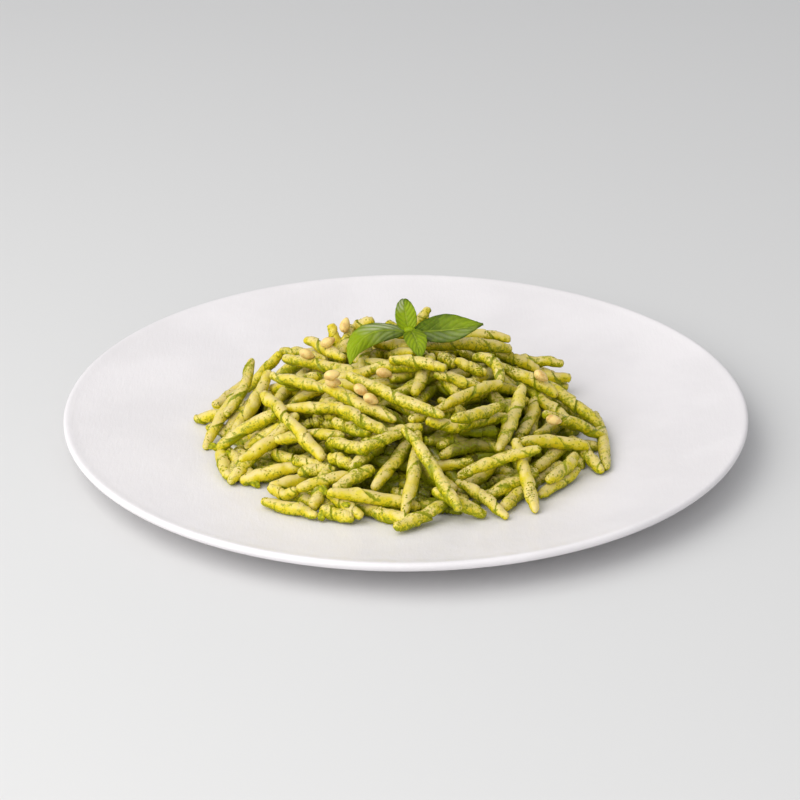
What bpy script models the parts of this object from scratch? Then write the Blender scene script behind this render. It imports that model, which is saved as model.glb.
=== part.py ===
"""Plate of pesto pasta: a wide coupe plate, a heap of twisted pasta strands, pine nuts and a basil sprig.

Metres, +Z up, the plate's axis on Z and its foot ring on z = 0. The heap is laid strand by strand on a
height map of what already lies on the plate, so every strand rests on the ones below it. The strands that
show best are fused on to a core and make one solid.
"""
import itertools
import math

import bmesh
import bpy
import numpy as np
from mathutils import Vector

MM = 0.001
SEED = 7
GAP = 0.35 * MM                    # air between two solids that touch in life

# Plate
PLATE_RADIUS = 155.0 * MM
PLATE_FLAT = 70.0 * MM             # radius of the level middle of its floor
PLATE_FLOOR = 8.0 * MM
PLATE_RISE = 9.0 * MM              # from the floor to just inside the lip
PLATE_SEGMENTS = 56

# Heap
HEAP_RADII = (92.0 * MM, 88.0 * MM)
HEAP_BACK = -12.0 * MM             # the heap's middle sits this far off the plate's, along Y
HEAP_HEIGHT = 43.0 * MM
MAP_HALF = 126.0 * MM
MAP_CELL = 0.75 * MM
BED_DEPTH = 17.0 * MM              # the bed of hidden strands starts this far below the heap's outline
COVER_DEPTH = 8.0 * MM             # and ends this far below it

# Strand
STRAND_LENGTH = 41.0 * MM
STRAND_SPREAD = 4.0 * MM
STRAND_GIRTH = 3.0 * MM           # largest radius
STRAND_TAPER = 0.42
STATIONS = 17
DROOP = 3.0 * MM                   # how far an end hangs at 20 mm past its last support
SQUASH = 0.25 * MM
SOLID_SIDES = 5
SOLID_SWELL = 1.12                 # a flat-sided strand is this much fatter, to meet its neighbours
KEEL_REACH = 3.2                   # in radii: how far down a strand's lower edge looks for the core
SOLID_STRANDS = 94
SOLID_RINGS = (-0.95, -0.66, -0.22, 0.22, 0.66, 0.95)

# Reference view: where it is seen from, for the strands and nuts that are placed by eye
VIEW_SIZE = 800
VIEW_ELEVATION = math.radians(24.89)
VIEW_ROLL = math.radians(-0.25)
VIEW_DISTANCE = 1150.0 * MM
VIEW_FOCAL = 2535.85
VIEW_TARGET = (-2.58 * MM, -5.02 * MM, 20.0 * MM)

# Seen strands
STUBS = 37                         # how many of the table's first rows are stubs deep in the gaps
STUB_DEPTH = 11.0 * MM             # how far the axes of the stubs and of the others lie under the outline
SEEN_DEPTH = 6.0 * MM
CREST_BACK = 35.0 * MM             # no seen strand lies further back than this
SETTLE_ROUNDS = 60
HIDDEN_RUN = 9.0 * MM              # how far a seen strand may run on under its neighbours

# Strands that show in the reference view, lowest first: its two ends (column, row), how far its middle
# bows to the left of first → second (mm), and which end runs on under its neighbours.
SEEN_STRANDS = (
    # stubs that show in the gaps
    ((403, 405), (424, 411), 0, "ab"), ((430, 384), (447, 389), 0, "ab"), ((380, 392), (398, 404), 0, "ab"),
    ((488, 392), (500, 403), 0, "ab"), ((502, 388), (514, 391), 0, "ab"), ((498, 470), (515, 475), 0, "a"),
    ((472, 484), (487, 470), 0, "ab"), ((427, 489), (447, 495), 0, "b"), ((418, 492), (430, 498), 0, "a"),
    ((391, 490), (407, 496), 0, "b"), ((440, 467), (453, 465), 0, "ab"), ((380, 457), (396, 464), 0, "ab"),
    ((380, 449), (397, 453), 0, "b"), ((423, 473), (437, 480), 0, "ab"), ((303, 427), (319, 421), 0, "b"),
    ((301, 406), (320, 399), 0, "b"), ((282, 406), (300, 394), 0, "ab"), ((290, 408), (305, 394), 0, "ab"),
    ((272, 399), (285, 394), 0, "ab"), ((270, 392), (286, 387), 0, "ab"), ((303, 380), (320, 376), 0, "a"),
    ((320, 402), (348, 405), 0, "b"), ((343, 385), (362, 388), 0, "ab"), ((236, 421), (250, 406), 0, "ab"),
    ((258, 459), (271, 456), 0, "ab"), ((253, 463), (263, 471), 0, "a"), ((372, 459), (391, 463), 0, "ab"),
    ((289, 483), (303, 480), 0, "ab"), ((358, 483), (378, 479), 0, "ab"), ((337, 360), (350, 367), 0, "ab"),
    ((536, 481), (545, 475), 0, "b"), ((374, 356), (392, 351), 0, "ab"), ((417, 431), (431, 426), 0, "ab"),
    ((227, 449), (239, 463), 0, "b"), ((395, 357), (405, 354), 0, "b"), ((557, 403), (577, 416), 0, "ab"),
    ((297, 497), (312, 501), 0, "ab"),
    # right flank and front right
    ((553, 384), (568, 389), 0, "a"), ((460, 337), (511, 339), 1, "a"), ((519, 360), (564, 363), 0, "a"),
    ((541, 375), (571, 379), 0, "a"),
    ((599, 433), (606, 469), 1, "a"), ((535, 435), (554, 427), 0, "b"), ((541, 397), (562, 415), -1, "ab"),
    ((584, 452), (603, 472), 0, "a"), ((539, 496), (563, 480), 0, "b"), ((536, 470), (553, 455), 0, "b"),
    ((547, 481), (577, 454), -1, ""), ((535, 397), (516, 439), 2, ""), ((502, 509), (523, 494), 1, "b"),
    ((489, 495), (519, 480), 0, "b"), ((548, 390), (603, 430), 2, "a"), ((550, 417), (606, 438), 1, "a"),
    ((536, 443), (589, 447), 1, "a"), ((521, 459), (536, 513), 0, "a"), ((496, 354), (539, 371), 1, ""),
    ((499, 367), (558, 396), 1, ""),
    # left flank
    ((215, 407), (236, 392), 0, "b"), ((194, 419), (236, 412), 0, "b"), ((220, 449), (231, 478), -1, ""),
    ((230, 484), (247, 466), 1, "b"), ((279, 352), (301, 353), 0, "b"), ((281, 353), (259, 377), 0, "b"),
    ((229, 408), (205, 449), -1, "a"),
    ((252, 359), (225, 416), 2, ""), ((270, 371), (231, 437), 1, ""), ((275, 430), (245, 449), 0, "a"),
    ((278, 416), (217, 450), -2, "a"), ((282, 426), (239, 461), 2, "a"), ((262, 394), (288, 422), 1, ""),
    # front left
    ((274, 441), (297, 437), 0, "b"), ((273, 452), (316, 460), -2, ""), ((240, 482), (302, 467), 1, ""),
    ((312, 465), (336, 470), 0, "a"), ((298, 473), (336, 472), 1, ""), ((270, 485), (298, 490), -3, ""),
    ((261, 501), (318, 515), 0, ""), ((320, 490), (313, 509), 0, "a"), ((297, 490), (354, 475), 1, ""),
    ((329, 458), (351, 468), 1, ""), ((350, 469), (368, 455), 0, "b"), ((353, 479), (373, 468), 0, "a"),
    # front
    ((355, 507), (400, 518), 0, "b"), ((321, 507), (354, 518), -1, ""), ((345, 505), (362, 518), 0, "a"),
    ((327, 493), (400, 504), 1, "b"), ((394, 528), (449, 500), -1, ""), ((451, 499), (486, 516), 0, "a"),
    ((456, 481), (508, 518), 1, ""), ((409, 443), (373, 490), 0, "a"), ((415, 449), (404, 514), 1, "a"),
    # middle left
    ((310, 433), (346, 437), 0, ""), ((361, 445), (403, 433), 1, "b"), ((286, 408), (361, 413), 1, ""),
    ((286, 417), (324, 460), 0, ""), ((333, 420), (371, 433), -1, ""), ((328, 441), (368, 451), 0, ""),
    ((356, 417), (387, 434), 0, "a"), ((270, 375), (327, 390), 0, ""), ((323, 386), (396, 421), 0, ""),
    # middle
    ((390, 379), (413, 375), 0, "b"), ((424, 373), (414, 395), 0, "a"), ((446, 380), (458, 396), 0, "a"),
    ((438, 356), (457, 365), 0, ""), ((454, 361), (487, 374), 0, ""), ((434, 373), (482, 388), 0, ""),
    ((403, 432), (380, 441), 0, "b"), ((409, 420), (434, 413), 0, "b"), ((426, 444), (448, 433), 0, "b"),
    ((438, 447), (462, 436), 0, "b"), ((440, 456), (500, 441), 1, ""), ((458, 431), (502, 434), 1, ""),
    ((426, 420), (472, 427), -1, ""), ((480, 421), (507, 417), 0, "a"), ((451, 419), (503, 405), -1, ""),
    ((473, 358), (500, 383), 5, ""), ((438, 409), (502, 383), 1, ""), ((522, 386), (498, 451), 1, ""),
    ((457, 477), (541, 448), 1, ""),
    # crest
    ((352, 329), (374, 320), 0, ""), ((387, 321), (399, 334), 0, "b"), ((299, 353), (328, 360), 0, ""),
    ((330, 324), (337, 342), 0, "b"), ((351, 326), (344, 349), 0, "b"),
    ((306, 339), (344, 359), 0, ""), ((370, 368), (409, 366), 0, "b"), ((373, 344), (405, 346), 0, "b"),
    ((369, 344), (361, 370), -1, "a"),
    ((430, 308), (419, 321), 0, "b"), ((283, 358), (361, 373), 0, ""), ((347, 374), (444, 416), -1, ""),
    ((389, 360), (446, 369), 1, ""), ((424, 347), (512, 350), 2, ""), ((403, 427), (459, 511), 1, ""),
)

# Pine nuts in the reference view, lowest first: column, row, and the angle that each makes with the row
SEEN_NUTS = ((328, 342, 25), (345, 325, 75), (307, 354, -20), (361, 390, -35), (371, 399, -25),
             (384, 373, -10), (333, 382, -8), (332, 375, 10), (541, 376, -35), (554, 420, -12))
NUT_LENGTH = 7.2 * MM
NUT_GIRTH = 2.4 * MM
NUT_LIFT = 0.75 * MM               # its height over the map: a flat-sided strand is the fatter one

# Core under the strands
CORE_SINK = 2.3 * MM               # its skin lies this far under the strands'
CORE_BLUR = 3.8 * MM
CORE_EDGE = 0.8 * MM               # its thickness at the foot, where it stops
CORE_SPREAD = 1.22                 # its furthest reach, as a share of the heap's radii
CORE_RINGS, CORE_SECTORS = 8, 32

# Basil: each leaf's midrib from base over a control point to the tip, the way its blade spreads, its
# width, how far its edges fall in a curve and in a fold (down is positive), how it waves (all mm), how
# much wider it is on one side, and how blunt it is (small is blunt)
LEAVES = {
    "right": ((3.5, 1, 51.2), (20, 1, 50.9), (35, 0, 55.0), (-0.1, 0.8, 0.6),
              14.6, 0.0, -1.7, 0.4, 0.0, 0.85),
    "left": ((0.5, 1, 50.8), (-21.4, 1, 56.2), (-24.6, -21, 45.0), (-0.6, 0.6, 0.5),
             11.4, 0.9, 1.6, 0.4, 0.12, 0.8),
    "back": ((1.6, 2, 51.3), (-0.3, 4, 58.5), (-0.6, 8, 64.2), (1.0, 0.0, 0.0),
             9.6, -1.2, 0.0, 0.3, 0.0, 0.45),
    "front": ((2.2, 0, 51.9), (5, -8, 53.6), (6.4, -20, 47.6), (1.0, 0.25, 0.1),
              10.2, 0.8, -0.8, 0.3, 0.0, 0.6),
}
LEAF_THICKNESS = 0.9 * MM
LEAF_STEPS, LEAF_HALF_STEPS = 9, 2
BUD = (1.9 * MM, 1.0 * MM, 51.9 * MM)
BUD_RADIUS = 2.0 * MM


# ---------------------------------------------------------------- outlines

def plate_top(radius):
    """Height of the plate's upper side at a radius (a number or an array)."""
    rise = np.clip((np.asarray(radius) - PLATE_FLAT) / (PLATE_RADIUS - PLATE_FLAT), 0.0, 1.0)
    return PLATE_FLOOR + PLATE_RISE * rise ** 2


def heap_top(x, y):
    """Height of the heap's outline over a point: a low dome, and the plate beyond its foot."""
    spread = (x / HEAP_RADII[0]) ** 2 + ((y - HEAP_BACK) / HEAP_RADII[1]) ** 2
    return np.maximum(plate_top(np.hypot(x, y)), PLATE_FLOOR + HEAP_HEIGHT * (1.0 - spread))


# ---------------------------------------------------------------- reference view

def view_axes():
    """The reference view's right and up directions."""
    right = np.array((1.0, 0.0, 0.0))
    up = np.array((0.0, math.sin(VIEW_ELEVATION), math.cos(VIEW_ELEVATION)))
    cos, sin = math.cos(VIEW_ROLL), math.sin(VIEW_ROLL)
    return cos * right + sin * up, cos * up - sin * right


def view_ray(pixel):
    """The eye, and the direction in which it sees a pixel (column, row), one unit deep."""
    ahead = np.array((0.0, math.cos(VIEW_ELEVATION), -math.sin(VIEW_ELEVATION)))
    right, up = view_axes()
    across, down = (np.asarray(pixel, float) - VIEW_SIZE / 2) / VIEW_FOCAL
    return np.array(VIEW_TARGET) - VIEW_DISTANCE * ahead, ahead + across * right - down * up


def view_plane(point):
    """A point seen square on: its distances right of and above the middle of the view."""
    away = np.asarray(point) - np.array(VIEW_TARGET)
    return np.array([away @ axis for axis in view_axes()])


def sight_depth(ray, rise):
    """Depth at which a ray first meets the heap's outline raised by rise, or passes its crest closest."""
    eye, line = ray
    depths = VIEW_DISTANCE + np.linspace(-150, 120, 400) * MM
    x, y, z = (eye + line * depths[:, None]).T
    above = np.where(y < CREST_BACK, z - rise - heap_top(x, y), math.inf)
    below = np.flatnonzero(above < 0)
    return depths[below[0] if len(below) else above.argmin()]


# ---------------------------------------------------------------- the pile

DISC = np.array([(0.0, 0.0)] + [(ring * math.cos(turn), ring * math.sin(turn))
                                for ring, count in ((0.5, 6), (0.92, 12))
                                for turn in np.arange(count) * 2 * math.pi / count])
DISC_RISE = np.sqrt(1.0 - (DISC ** 2).sum(1))


class Pile:
    """Height map of what already lies on the plate."""

    def __init__(self):
        self.line = np.arange(-MAP_HALF, MAP_HALF + MAP_CELL / 2, MAP_CELL)
        x, y = np.meshgrid(self.line, self.line)
        self.x, self.y = x, y
        bed = heap_top(x, y) - BED_DEPTH - 0.1 * (HEAP_HEIGHT + PLATE_FLOOR - heap_top(x, y))
        self.top = np.maximum(plate_top(np.hypot(x, y)) + GAP, bed)
        self.owner = np.full(x.shape, -1)

    def height(self, plan):
        cell = np.rint((plan + MAP_HALF) / MAP_CELL).astype(int).clip(0, len(self.line) - 1)
        return self.top[cell[..., 1], cell[..., 0]]

    def clearance(self, plan, girth):
        """Lowest height of a ball's centre over each point of a path."""
        girth = np.asarray(girth)[:, None]
        spots = plan[:, None, :] + DISC[None] * girth[..., None]
        return (self.height(spots) + girth * DISC_RISE).max(axis=1)

    def rest(self, plan, girth):
        """Heights of a strand's axis when it is let down over a path: it lies on the two supports
        that carry its middle, and its free ends hang a little."""
        clear = self.clearance(plan, girth)
        step = np.hypot(*np.diff(plan, axis=0).T)
        run = np.concatenate(((0.0,), np.cumsum(step)))
        run -= run[-1] / 2
        left, right = np.flatnonzero(run < 0), np.flatnonzero(run > 0)
        slope = (clear[right][None] - clear[left][:, None]) / (run[right][None] - run[left][:, None])
        middle = clear[left][:, None] - slope * run[left][:, None]
        i, j = np.unravel_index(middle.argmax(), middle.shape)
        line = middle[i, j] + slope[i, j] * run
        over = np.maximum(run - run[right[j]], 0) + np.maximum(run[left[i]] - run, 0)
        line = np.maximum(line - DROOP * (over / (20 * MM)) ** 2, clear)
        for _ in range(2):
            padded = np.concatenate(((2 * line[0] - line[1],), line, (2 * line[-1] - line[-2],)))
            line = np.maximum((padded[:-2] + 2 * line + padded[2:]) / 4, clear - SQUASH)
        return line

    def lay(self, axis, girth, tag):
        """Add a strand to the map, and mark the cells in which it is uppermost."""
        run = np.concatenate(((0.0,), np.cumsum(np.linalg.norm(np.diff(axis, axis=0), axis=1))))
        fine = np.linspace(0, run[-1], int(run[-1] / (0.7 * MAP_CELL)) + 2)
        x, y, z, ball = (np.interp(fine, run, value) for value in (*axis.T, girth))
        low = np.array((x.min(), y.min())) - STRAND_GIRTH
        high = np.array((x.max(), y.max())) + STRAND_GIRTH
        (i0, j0), (i1, j1) = (np.rint((corner + MAP_HALF) / MAP_CELL).astype(int).clip(0, len(self.line))
                              for corner in (low, high))
        window = np.s_[j0:j1 + 1, i0:i1 + 1]
        apart = (self.x[window][..., None] - x) ** 2 + (self.y[window][..., None] - y) ** 2
        skin = z + np.sqrt(np.maximum(ball ** 2 - apart, 0.0))
        skin = np.where(apart < ball ** 2, skin, -1.0).max(axis=2)
        higher = skin > self.top[window]
        self.top[window][higher] = skin[higher]
        self.owner[window][higher] = tag


# ---------------------------------------------------------------- strands

def girth_along(place, girth=STRAND_GIRTH):
    """Radius of a strand at a place from -1 (one tip) to 1: a spindle with round tips."""
    place = np.abs(place)
    return girth * (1.0 - STRAND_TAPER * place ** 3.4) * np.sqrt(np.maximum(1.0 - place ** 14, 0.015))


def plan_path(start, end, bow):
    """Points in plan from start to end; the middle bows to the left."""
    start, end = np.asarray(start), np.asarray(end)
    place = np.linspace(-1, 1, STATIONS)[:, None]
    ahead = (end - start) / max(np.hypot(*(end - start)), 1e-6)
    aside = np.array((-ahead[1], ahead[0]))
    return (start + end) / 2 + (end - start) / 2 * place + aside * bow * (1 - place ** 2)


class SeenStrand:
    """A strand placed by eye: its shown ends slide along their lines of sight."""

    def __init__(self, row, sunk, rng):
        first, second, bow, which = row
        self.rays = view_ray(first), view_ray(second)
        full = STRAND_LENGTH + rng.uniform(-1, 1) * STRAND_SPREAD
        self.girth = girth_along(np.linspace(-1, 1, STATIONS), STRAND_GIRTH * rng.uniform(0.84, 1.04))
        self.depth = np.array([sight_depth(ray, -sunk) for ray in self.rays])
        start, end = self.ends()
        flat = np.array([view_plane(start), view_plane(end)])
        across = math.dist(*flat)
        reach = math.sqrt(max((STRAND_LENGTH + STRAND_SPREAD) ** 2 - across ** 2, (6 * MM) ** 2))
        self.reach = min(reach, 0.9 * across + 3 * MM)
        self.lean, self.give = 0.0, self.reach
        self.hold_slope()
        self.lean, self.give = self.depth[1] - self.depth[0], 0.35 * across + 2 * MM
        hidden = max(full - math.dist(*self.ends()), 0.0) / max(len(which), 1)
        before, after = (min(hidden, HIDDEN_RUN) * (end in which) / max(across, 1e-6) for end in "ab")
        self.places = np.linspace(-before, 1 + after, STATIONS)
        aside = np.array((flat[0][1] - flat[1][1], flat[1][0] - flat[0][0])) / max(across, 1e-6)
        self.bow = aside * bow * MM * (1 - np.linspace(-1, 1, STATIONS)[:, None] ** 2)
        self.flat = flat[0] + (flat[1] - flat[0]) * self.places[:, None] + self.bow
        self.home = self.depth.copy()

    def ends(self):
        return [eye + line * depth for (eye, line), depth in zip(self.rays, self.depth)]

    def depths(self):
        return self.depth[0] + (self.depth[1] - self.depth[0]) * self.places

    def shift(self, station, amount):
        """Slide the strand along the view so that one station moves by an amount."""
        weight = np.clip((1 - self.places[station], self.places[station]), 0.0, 1.0)
        self.depth += amount * weight / (weight ** 2).sum()

    def hold_slope(self):
        """Keep the strand's slope along the view near that of the outline under it."""
        middle, difference = self.depth.mean(), self.depth[1] - self.depth[0]
        difference = np.clip(difference, self.lean - self.give, self.lean + self.give)
        self.depth = middle + difference * np.array((-0.5, 0.5))

    def clear_plate(self):
        for _ in range(3):
            axis = self.axis()
            low = plate_top(np.hypot(*axis[:, :2].T)) + GAP + self.girth - axis[:, 2]
            worst = low.argmax()
            if low[worst] > 0:
                self.shift(worst, -low[worst] / math.sin(VIEW_ELEVATION))

    def axis(self):
        start, end = self.ends()
        right, up = view_axes()
        return (start + (end - start) * self.places[:, None]
                + self.bow[:, :1] * right + self.bow[:, 1:] * up)


def overlaps(strands):
    """For each lower and upper strand that cross in the view: the depth their stations must differ by."""
    pairs = []
    for low, high in itertools.combinations(range(len(strands)), 2):
        apart = np.linalg.norm(strands[low].flat[:, None] - strands[high].flat[None], axis=2)
        reach = strands[low].girth[:, None] + strands[high].girth[None] - SQUASH
        if (apart < reach).any():
            need = np.where(apart < reach, np.sqrt(np.maximum(reach ** 2 - apart ** 2, 0.0)), -1.0)
            pairs.append((strands[low], strands[high], need))
    return pairs


def settle_seen(rng):
    """The seen strands, slid along the view until each lies clear on top of the ones listed before it,
    and otherwise as near the heap's outline as it can."""
    strands = [SeenStrand(row, STUB_DEPTH if index < STUBS else SEEN_DEPTH, rng)
               for index, row in enumerate(SEEN_STRANDS)]
    pairs = overlaps(strands)
    for _ in range(SETTLE_ROUNDS):
        for strand in strands:
            strand.depth += 0.06 * (strand.home - strand.depth)
        for low, high, need in pairs:
            lack = need - (low.depths()[:, None] - high.depths()[None])
            lack[need < 0] = -1.0
            k, m = np.unravel_index(lack.argmax(), lack.shape)
            if lack[k, m] > 0:
                low.shift(k, lack[k, m] * 0.4)
                high.shift(m, -lack[k, m] * 0.4)
        for strand in strands:
            strand.hold_slope()
            strand.clear_plate()
    return [(strand.axis(), strand.girth) for strand in strands]


def fill(pile, strands, rng, count, depth, where):
    """Lay strands where the pile lies deepest below the heap's outline less a depth."""
    for _ in range(count):
        best, best_room = None, 0.0
        for _ in range(26):
            spread, turn = 0.96 * math.sqrt(rng.uniform()), rng.uniform(0, 2 * math.pi)
            heading = rng.uniform(0, 2 * math.pi)
            centre = spread * np.array(HEAP_RADII) * (math.cos(turn), math.sin(turn)) + (0.0, HEAP_BACK)
            steep = 2 * HEAP_HEIGHT * spread / HEAP_RADII[0] * abs(math.cos(heading - turn))
            half = (STRAND_LENGTH + rng.uniform(-1, 1) * STRAND_SPREAD) / 2 / math.hypot(1, steep)
            ahead = half * np.array((math.cos(heading), math.sin(heading)))
            if not all(where(*spot) for spot in (centre - ahead, centre, centre + ahead)):
                continue
            plan = plan_path(centre - ahead, centre + ahead, rng.uniform(-2, 2) * MM)
            girth = girth_along(np.linspace(-1, 1, STATIONS), STRAND_GIRTH * rng.uniform(0.93, 1.05))
            rest = pile.rest(plan, girth)
            room = heap_top(*plan.T) - depth - rest - girth
            if room.mean() > best_room and room.min() > -2.5 * MM:
                best, best_room = (np.column_stack((plan, rest)), girth), room.mean()
        if best:
            pile.lay(*best, len(strands))
            strands.append(best)


def pile_up():
    """All the strands of the heap, from the bed up, and the map of the finished pile."""
    rng = np.random.default_rng(SEED)
    pile, strands = Pile(), []
    fill(pile, strands, rng, 170, COVER_DEPTH, lambda x, y: True)
    for strand in settle_seen(rng):
        pile.lay(*strand, len(strands))
        strands.append(strand)
    fill(pile, strands, rng, 70, 0.0, lambda x, y: y > 0.45 * abs(x) - 8 * MM)
    return pile, strands


# ---------------------------------------------------------------- solids

def new_node(name, bm, colour, roughness):
    """Finish a mesh as an object of its own with its own material."""
    bmesh.ops.recalc_face_normals(bm, faces=bm.faces)
    mesh = bpy.data.meshes.new(name)
    bm.to_mesh(mesh)
    bm.free()
    material = bpy.data.materials.new(name)
    material.use_nodes = True
    shader = material.node_tree.nodes["Principled BSDF"]
    shader.inputs["Base Color"].default_value = (*colour, 1.0)
    shader.inputs["Roughness"].default_value = roughness
    mesh.materials.append(material)
    mesh.shade_smooth()
    mesh.set_sharp_from_angle(angle=math.radians(35))
    node = bpy.data.objects.new(name, mesh)
    HOME.objects.link(node)
    return node


def plate_profile():
    """Radius and height down the plate's section: floor, rising rim, lip, underside and foot ring."""
    top = [(radius * MM, float(plate_top(radius * MM))) for radius in (0, 70, 84, 98, 112, 126, 140, 151)]
    lip = [(153.8, 16.9), (155.0, 15.6), (154.2, 13.2)]
    under = [(139, 10.0), (118, 6.4), (95, 3.8)]
    foot = [(92.4, 0.2), (91.8, 0.0), (88.2, 0.0), (87.6, 0.2), (85.5, 2.8), (0, 2.8)]
    return top + [(radius * MM, height * MM) for radius, height in lip + under + foot]


def build_plate():
    bm = bmesh.new()
    section = [bm.verts.new((radius, 0.0, height)) for radius, height in plate_profile()]
    for pair in zip(section, section[1:]):
        bm.edges.new(pair)
    plate = new_node("plate", bm, (0.82, 0.79, 0.77), 0.35)
    turn = plate.modifiers.new("turn", "SCREW")
    turn.axis, turn.angle, turn.screw_offset = "Z", 2 * math.pi, 0.0
    turn.steps = turn.render_steps = PLATE_SEGMENTS
    turn.use_merge_vertices, turn.merge_threshold = True, 0.00001
    turn.use_smooth_shade = True


def keel(pile, centre, radius):
    """How far a strand's lowest edge lies under its axis: its radius, or down to a near core."""
    floor = plate_top(math.hypot(*centre[:2])) + GAP
    drop = centre[2] - max(core_height(pile, centre[:2]) - 0.5 * MM, floor)
    return drop if radius < drop < KEEL_REACH * radius else min(radius, centre[2] - floor)


def add_strand(bm, axis, girth, pile):
    """One strand as a closed five-sided tube with pointed tips and an edge below."""
    places = np.linspace(-1, 1, STATIONS)
    rings = []
    for place in SOLID_RINGS:
        behind, centre, ahead = (np.array([np.interp(place + shift, places, value) for value in axis.T])
                                 for shift in (-0.1, 0.0, 0.1))
        ahead -= behind
        aside = np.cross(ahead, (0.0, 0.0, 1.0))
        aside /= np.linalg.norm(aside)
        over = np.cross(aside, ahead)
        over /= np.linalg.norm(over)
        radius = SOLID_SWELL * np.interp(place, places, girth)
        turns = np.arange(SOLID_SIDES) * 2 * math.pi / SOLID_SIDES - math.pi / 2
        spokes = radius * (np.cos(turns)[:, None] * aside + np.sin(turns)[:, None] * over)
        spokes[0] *= keel(pile, centre, radius) / radius
        rings.append([bm.verts.new(centre + spoke) for spoke in spokes])
    tips = [bm.verts.new(axis[0]), bm.verts.new(axis[-1])]
    for low, high in zip(rings, rings[1:]):
        for k in range(SOLID_SIDES):
            bm.faces.new((low[k - 1], low[k], high[k], high[k - 1]))
    for tip, ring in zip(tips, (rings[0], rings[-1])):
        for k in range(SOLID_SIDES):
            bm.faces.new((tip, ring[k], ring[k - 1]))
    bmesh.ops.triangulate(bm, faces=bm.faces)


def core_height(pile, plan):
    """Mean height of the pile round each point, less the core's sink."""
    around = plan[..., None, :] + DISC * CORE_BLUR
    return pile.height(around).mean(axis=-1) - CORE_SINK


def core_plan(pile):
    """Points of the core in plan, ring by ring: each sector runs out to where the strands end."""
    turns = np.arange(CORE_SECTORS) * 2 * math.pi / CORE_SECTORS
    ways = np.array(HEAP_RADII) * np.column_stack((np.cos(turns), np.sin(turns)))
    spreads = np.arange(CORE_SPREAD, 0.7, -0.01)
    spots = spreads[:, None, None] * ways + (0, HEAP_BACK)
    thick = core_height(pile, spots) - plate_top(np.hypot(spots[..., 0], spots[..., 1])) > CORE_EDGE + GAP
    reach = spreads[thick.argmax(axis=0)]
    return [ring / CORE_RINGS * reach[:, None] * ways + (0, HEAP_BACK) for ring in range(1, CORE_RINGS + 1)]


def add_core(bm, pile):
    """The heap's inside: a lumpy dome just under the strands, down to the plate."""
    skin, floor = [], []
    for plan in core_plan(pile):
        base = plate_top(np.hypot(*plan.T)) + GAP
        high = np.maximum(core_height(pile, plan), base + CORE_EDGE)
        skin.append([bm.verts.new((*spot, z)) for spot, z in zip(plan, high)])
        floor.append([bm.verts.new((*spot, z)) for spot, z in zip(plan, base)])
    centre = np.array((0.0, HEAP_BACK))
    crown = bm.verts.new((*centre, core_height(pile, centre)))
    foot = bm.verts.new((*centre, PLATE_FLOOR + GAP))
    for sheet, middle in ((skin, crown), (floor, foot)):
        for k in range(CORE_SECTORS):
            bm.faces.new((middle, sheet[0][k - 1], sheet[0][k]))
        for inner, outer in zip(sheet, sheet[1:]):
            for k in range(CORE_SECTORS):
                bm.faces.new((inner[k - 1], outer[k - 1], outer[k], inner[k]))
    for k in range(CORE_SECTORS):
        bm.faces.new((skin[-1][k - 1], floor[-1][k - 1], floor[-1][k], skin[-1][k]))
    bmesh.ops.triangulate(bm, faces=bm.faces)


def keep_largest(node):
    """Drop loose scraps: keep the piece of a mesh with the largest spread."""
    bm = bmesh.new()
    bm.from_mesh(node.data)
    islands, todo = [], set(bm.verts)
    while todo:
        island, edge = set(), [next(iter(todo))]
        while edge:
            vertex = edge.pop()
            if vertex not in island:
                island.add(vertex)
                edge.extend(link.other_vert(vertex) for link in vertex.link_edges)
        islands.append(island)
        todo -= island
    largest = max(islands, key=len)
    bmesh.ops.delete(bm, geom=[vertex for vertex in bm.verts if vertex not in largest], context="VERTS")
    bmesh.ops.triangulate(bm, faces=bm.faces)
    bm.to_mesh(node.data)
    bm.free()


def fuse(node, pieces, solver):
    """Union a node with the pieces, each one closed body, and remove the pieces."""
    cutters = bpy.data.collections.new(node.name + " pieces")
    bpy.context.scene.collection.children.link(cutters)
    for index, piece in enumerate(pieces):
        bmesh.ops.recalc_face_normals(piece, faces=piece.faces)
        mesh = bpy.data.meshes.new("%s piece %d" % (node.name, index))
        piece.to_mesh(mesh)
        piece.free()
        cutters.objects.link(bpy.data.objects.new(mesh.name, mesh))
    union = node.modifiers.new("fuse", "BOOLEAN")
    union.operation, union.operand_type, union.solver = "UNION", "COLLECTION", solver
    union.collection = cutters
    bpy.context.view_layer.update()
    fused = bpy.data.meshes.new_from_object(node.evaluated_get(bpy.context.evaluated_depsgraph_get()))
    node.modifiers.clear()
    node.data = fused
    for piece in list(cutters.objects):
        bpy.data.objects.remove(piece, do_unlink=True)
    bpy.data.collections.remove(cutters)
    keep_largest(node)
    node.data.shade_smooth()
    node.data.set_sharp_from_angle(angle=math.radians(35))


def build_heap(pile, strands):
    """The core, with the strands that cover most of the heap fused on, largest first."""
    shown = np.bincount(pile.owner[pile.owner >= 0], minlength=len(strands))
    pieces = []
    for index in np.argsort(-shown, kind="stable")[:SOLID_STRANDS]:
        bm = bmesh.new()
        add_strand(bm, *strands[index], pile)
        pieces.append(bm)
    core = bmesh.new()
    add_core(core, pile)
    heap = new_node("pasta_heap", core, (0.52, 0.47, 0.11), 0.45)
    fuse(heap, pieces, "MANIFOLD")
    return heap


def leaf_frame(spec, along):
    """Point on a leaf's midrib, and the blade's side and face directions there."""
    base, arch, tip, side = (np.array(value, float) for value in spec[:4])
    centre = ((1 - along) ** 2 * base + 2 * along * (1 - along) * arch + along ** 2 * tip) * MM
    ahead = (1 - along) * (arch - base) + along * (tip - arch)
    ahead /= np.linalg.norm(ahead)
    side = side - (side @ ahead) * ahead
    side /= np.linalg.norm(side)
    face = np.cross(ahead, side)
    return centre, side, face if face[2] > 0 else -face


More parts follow.
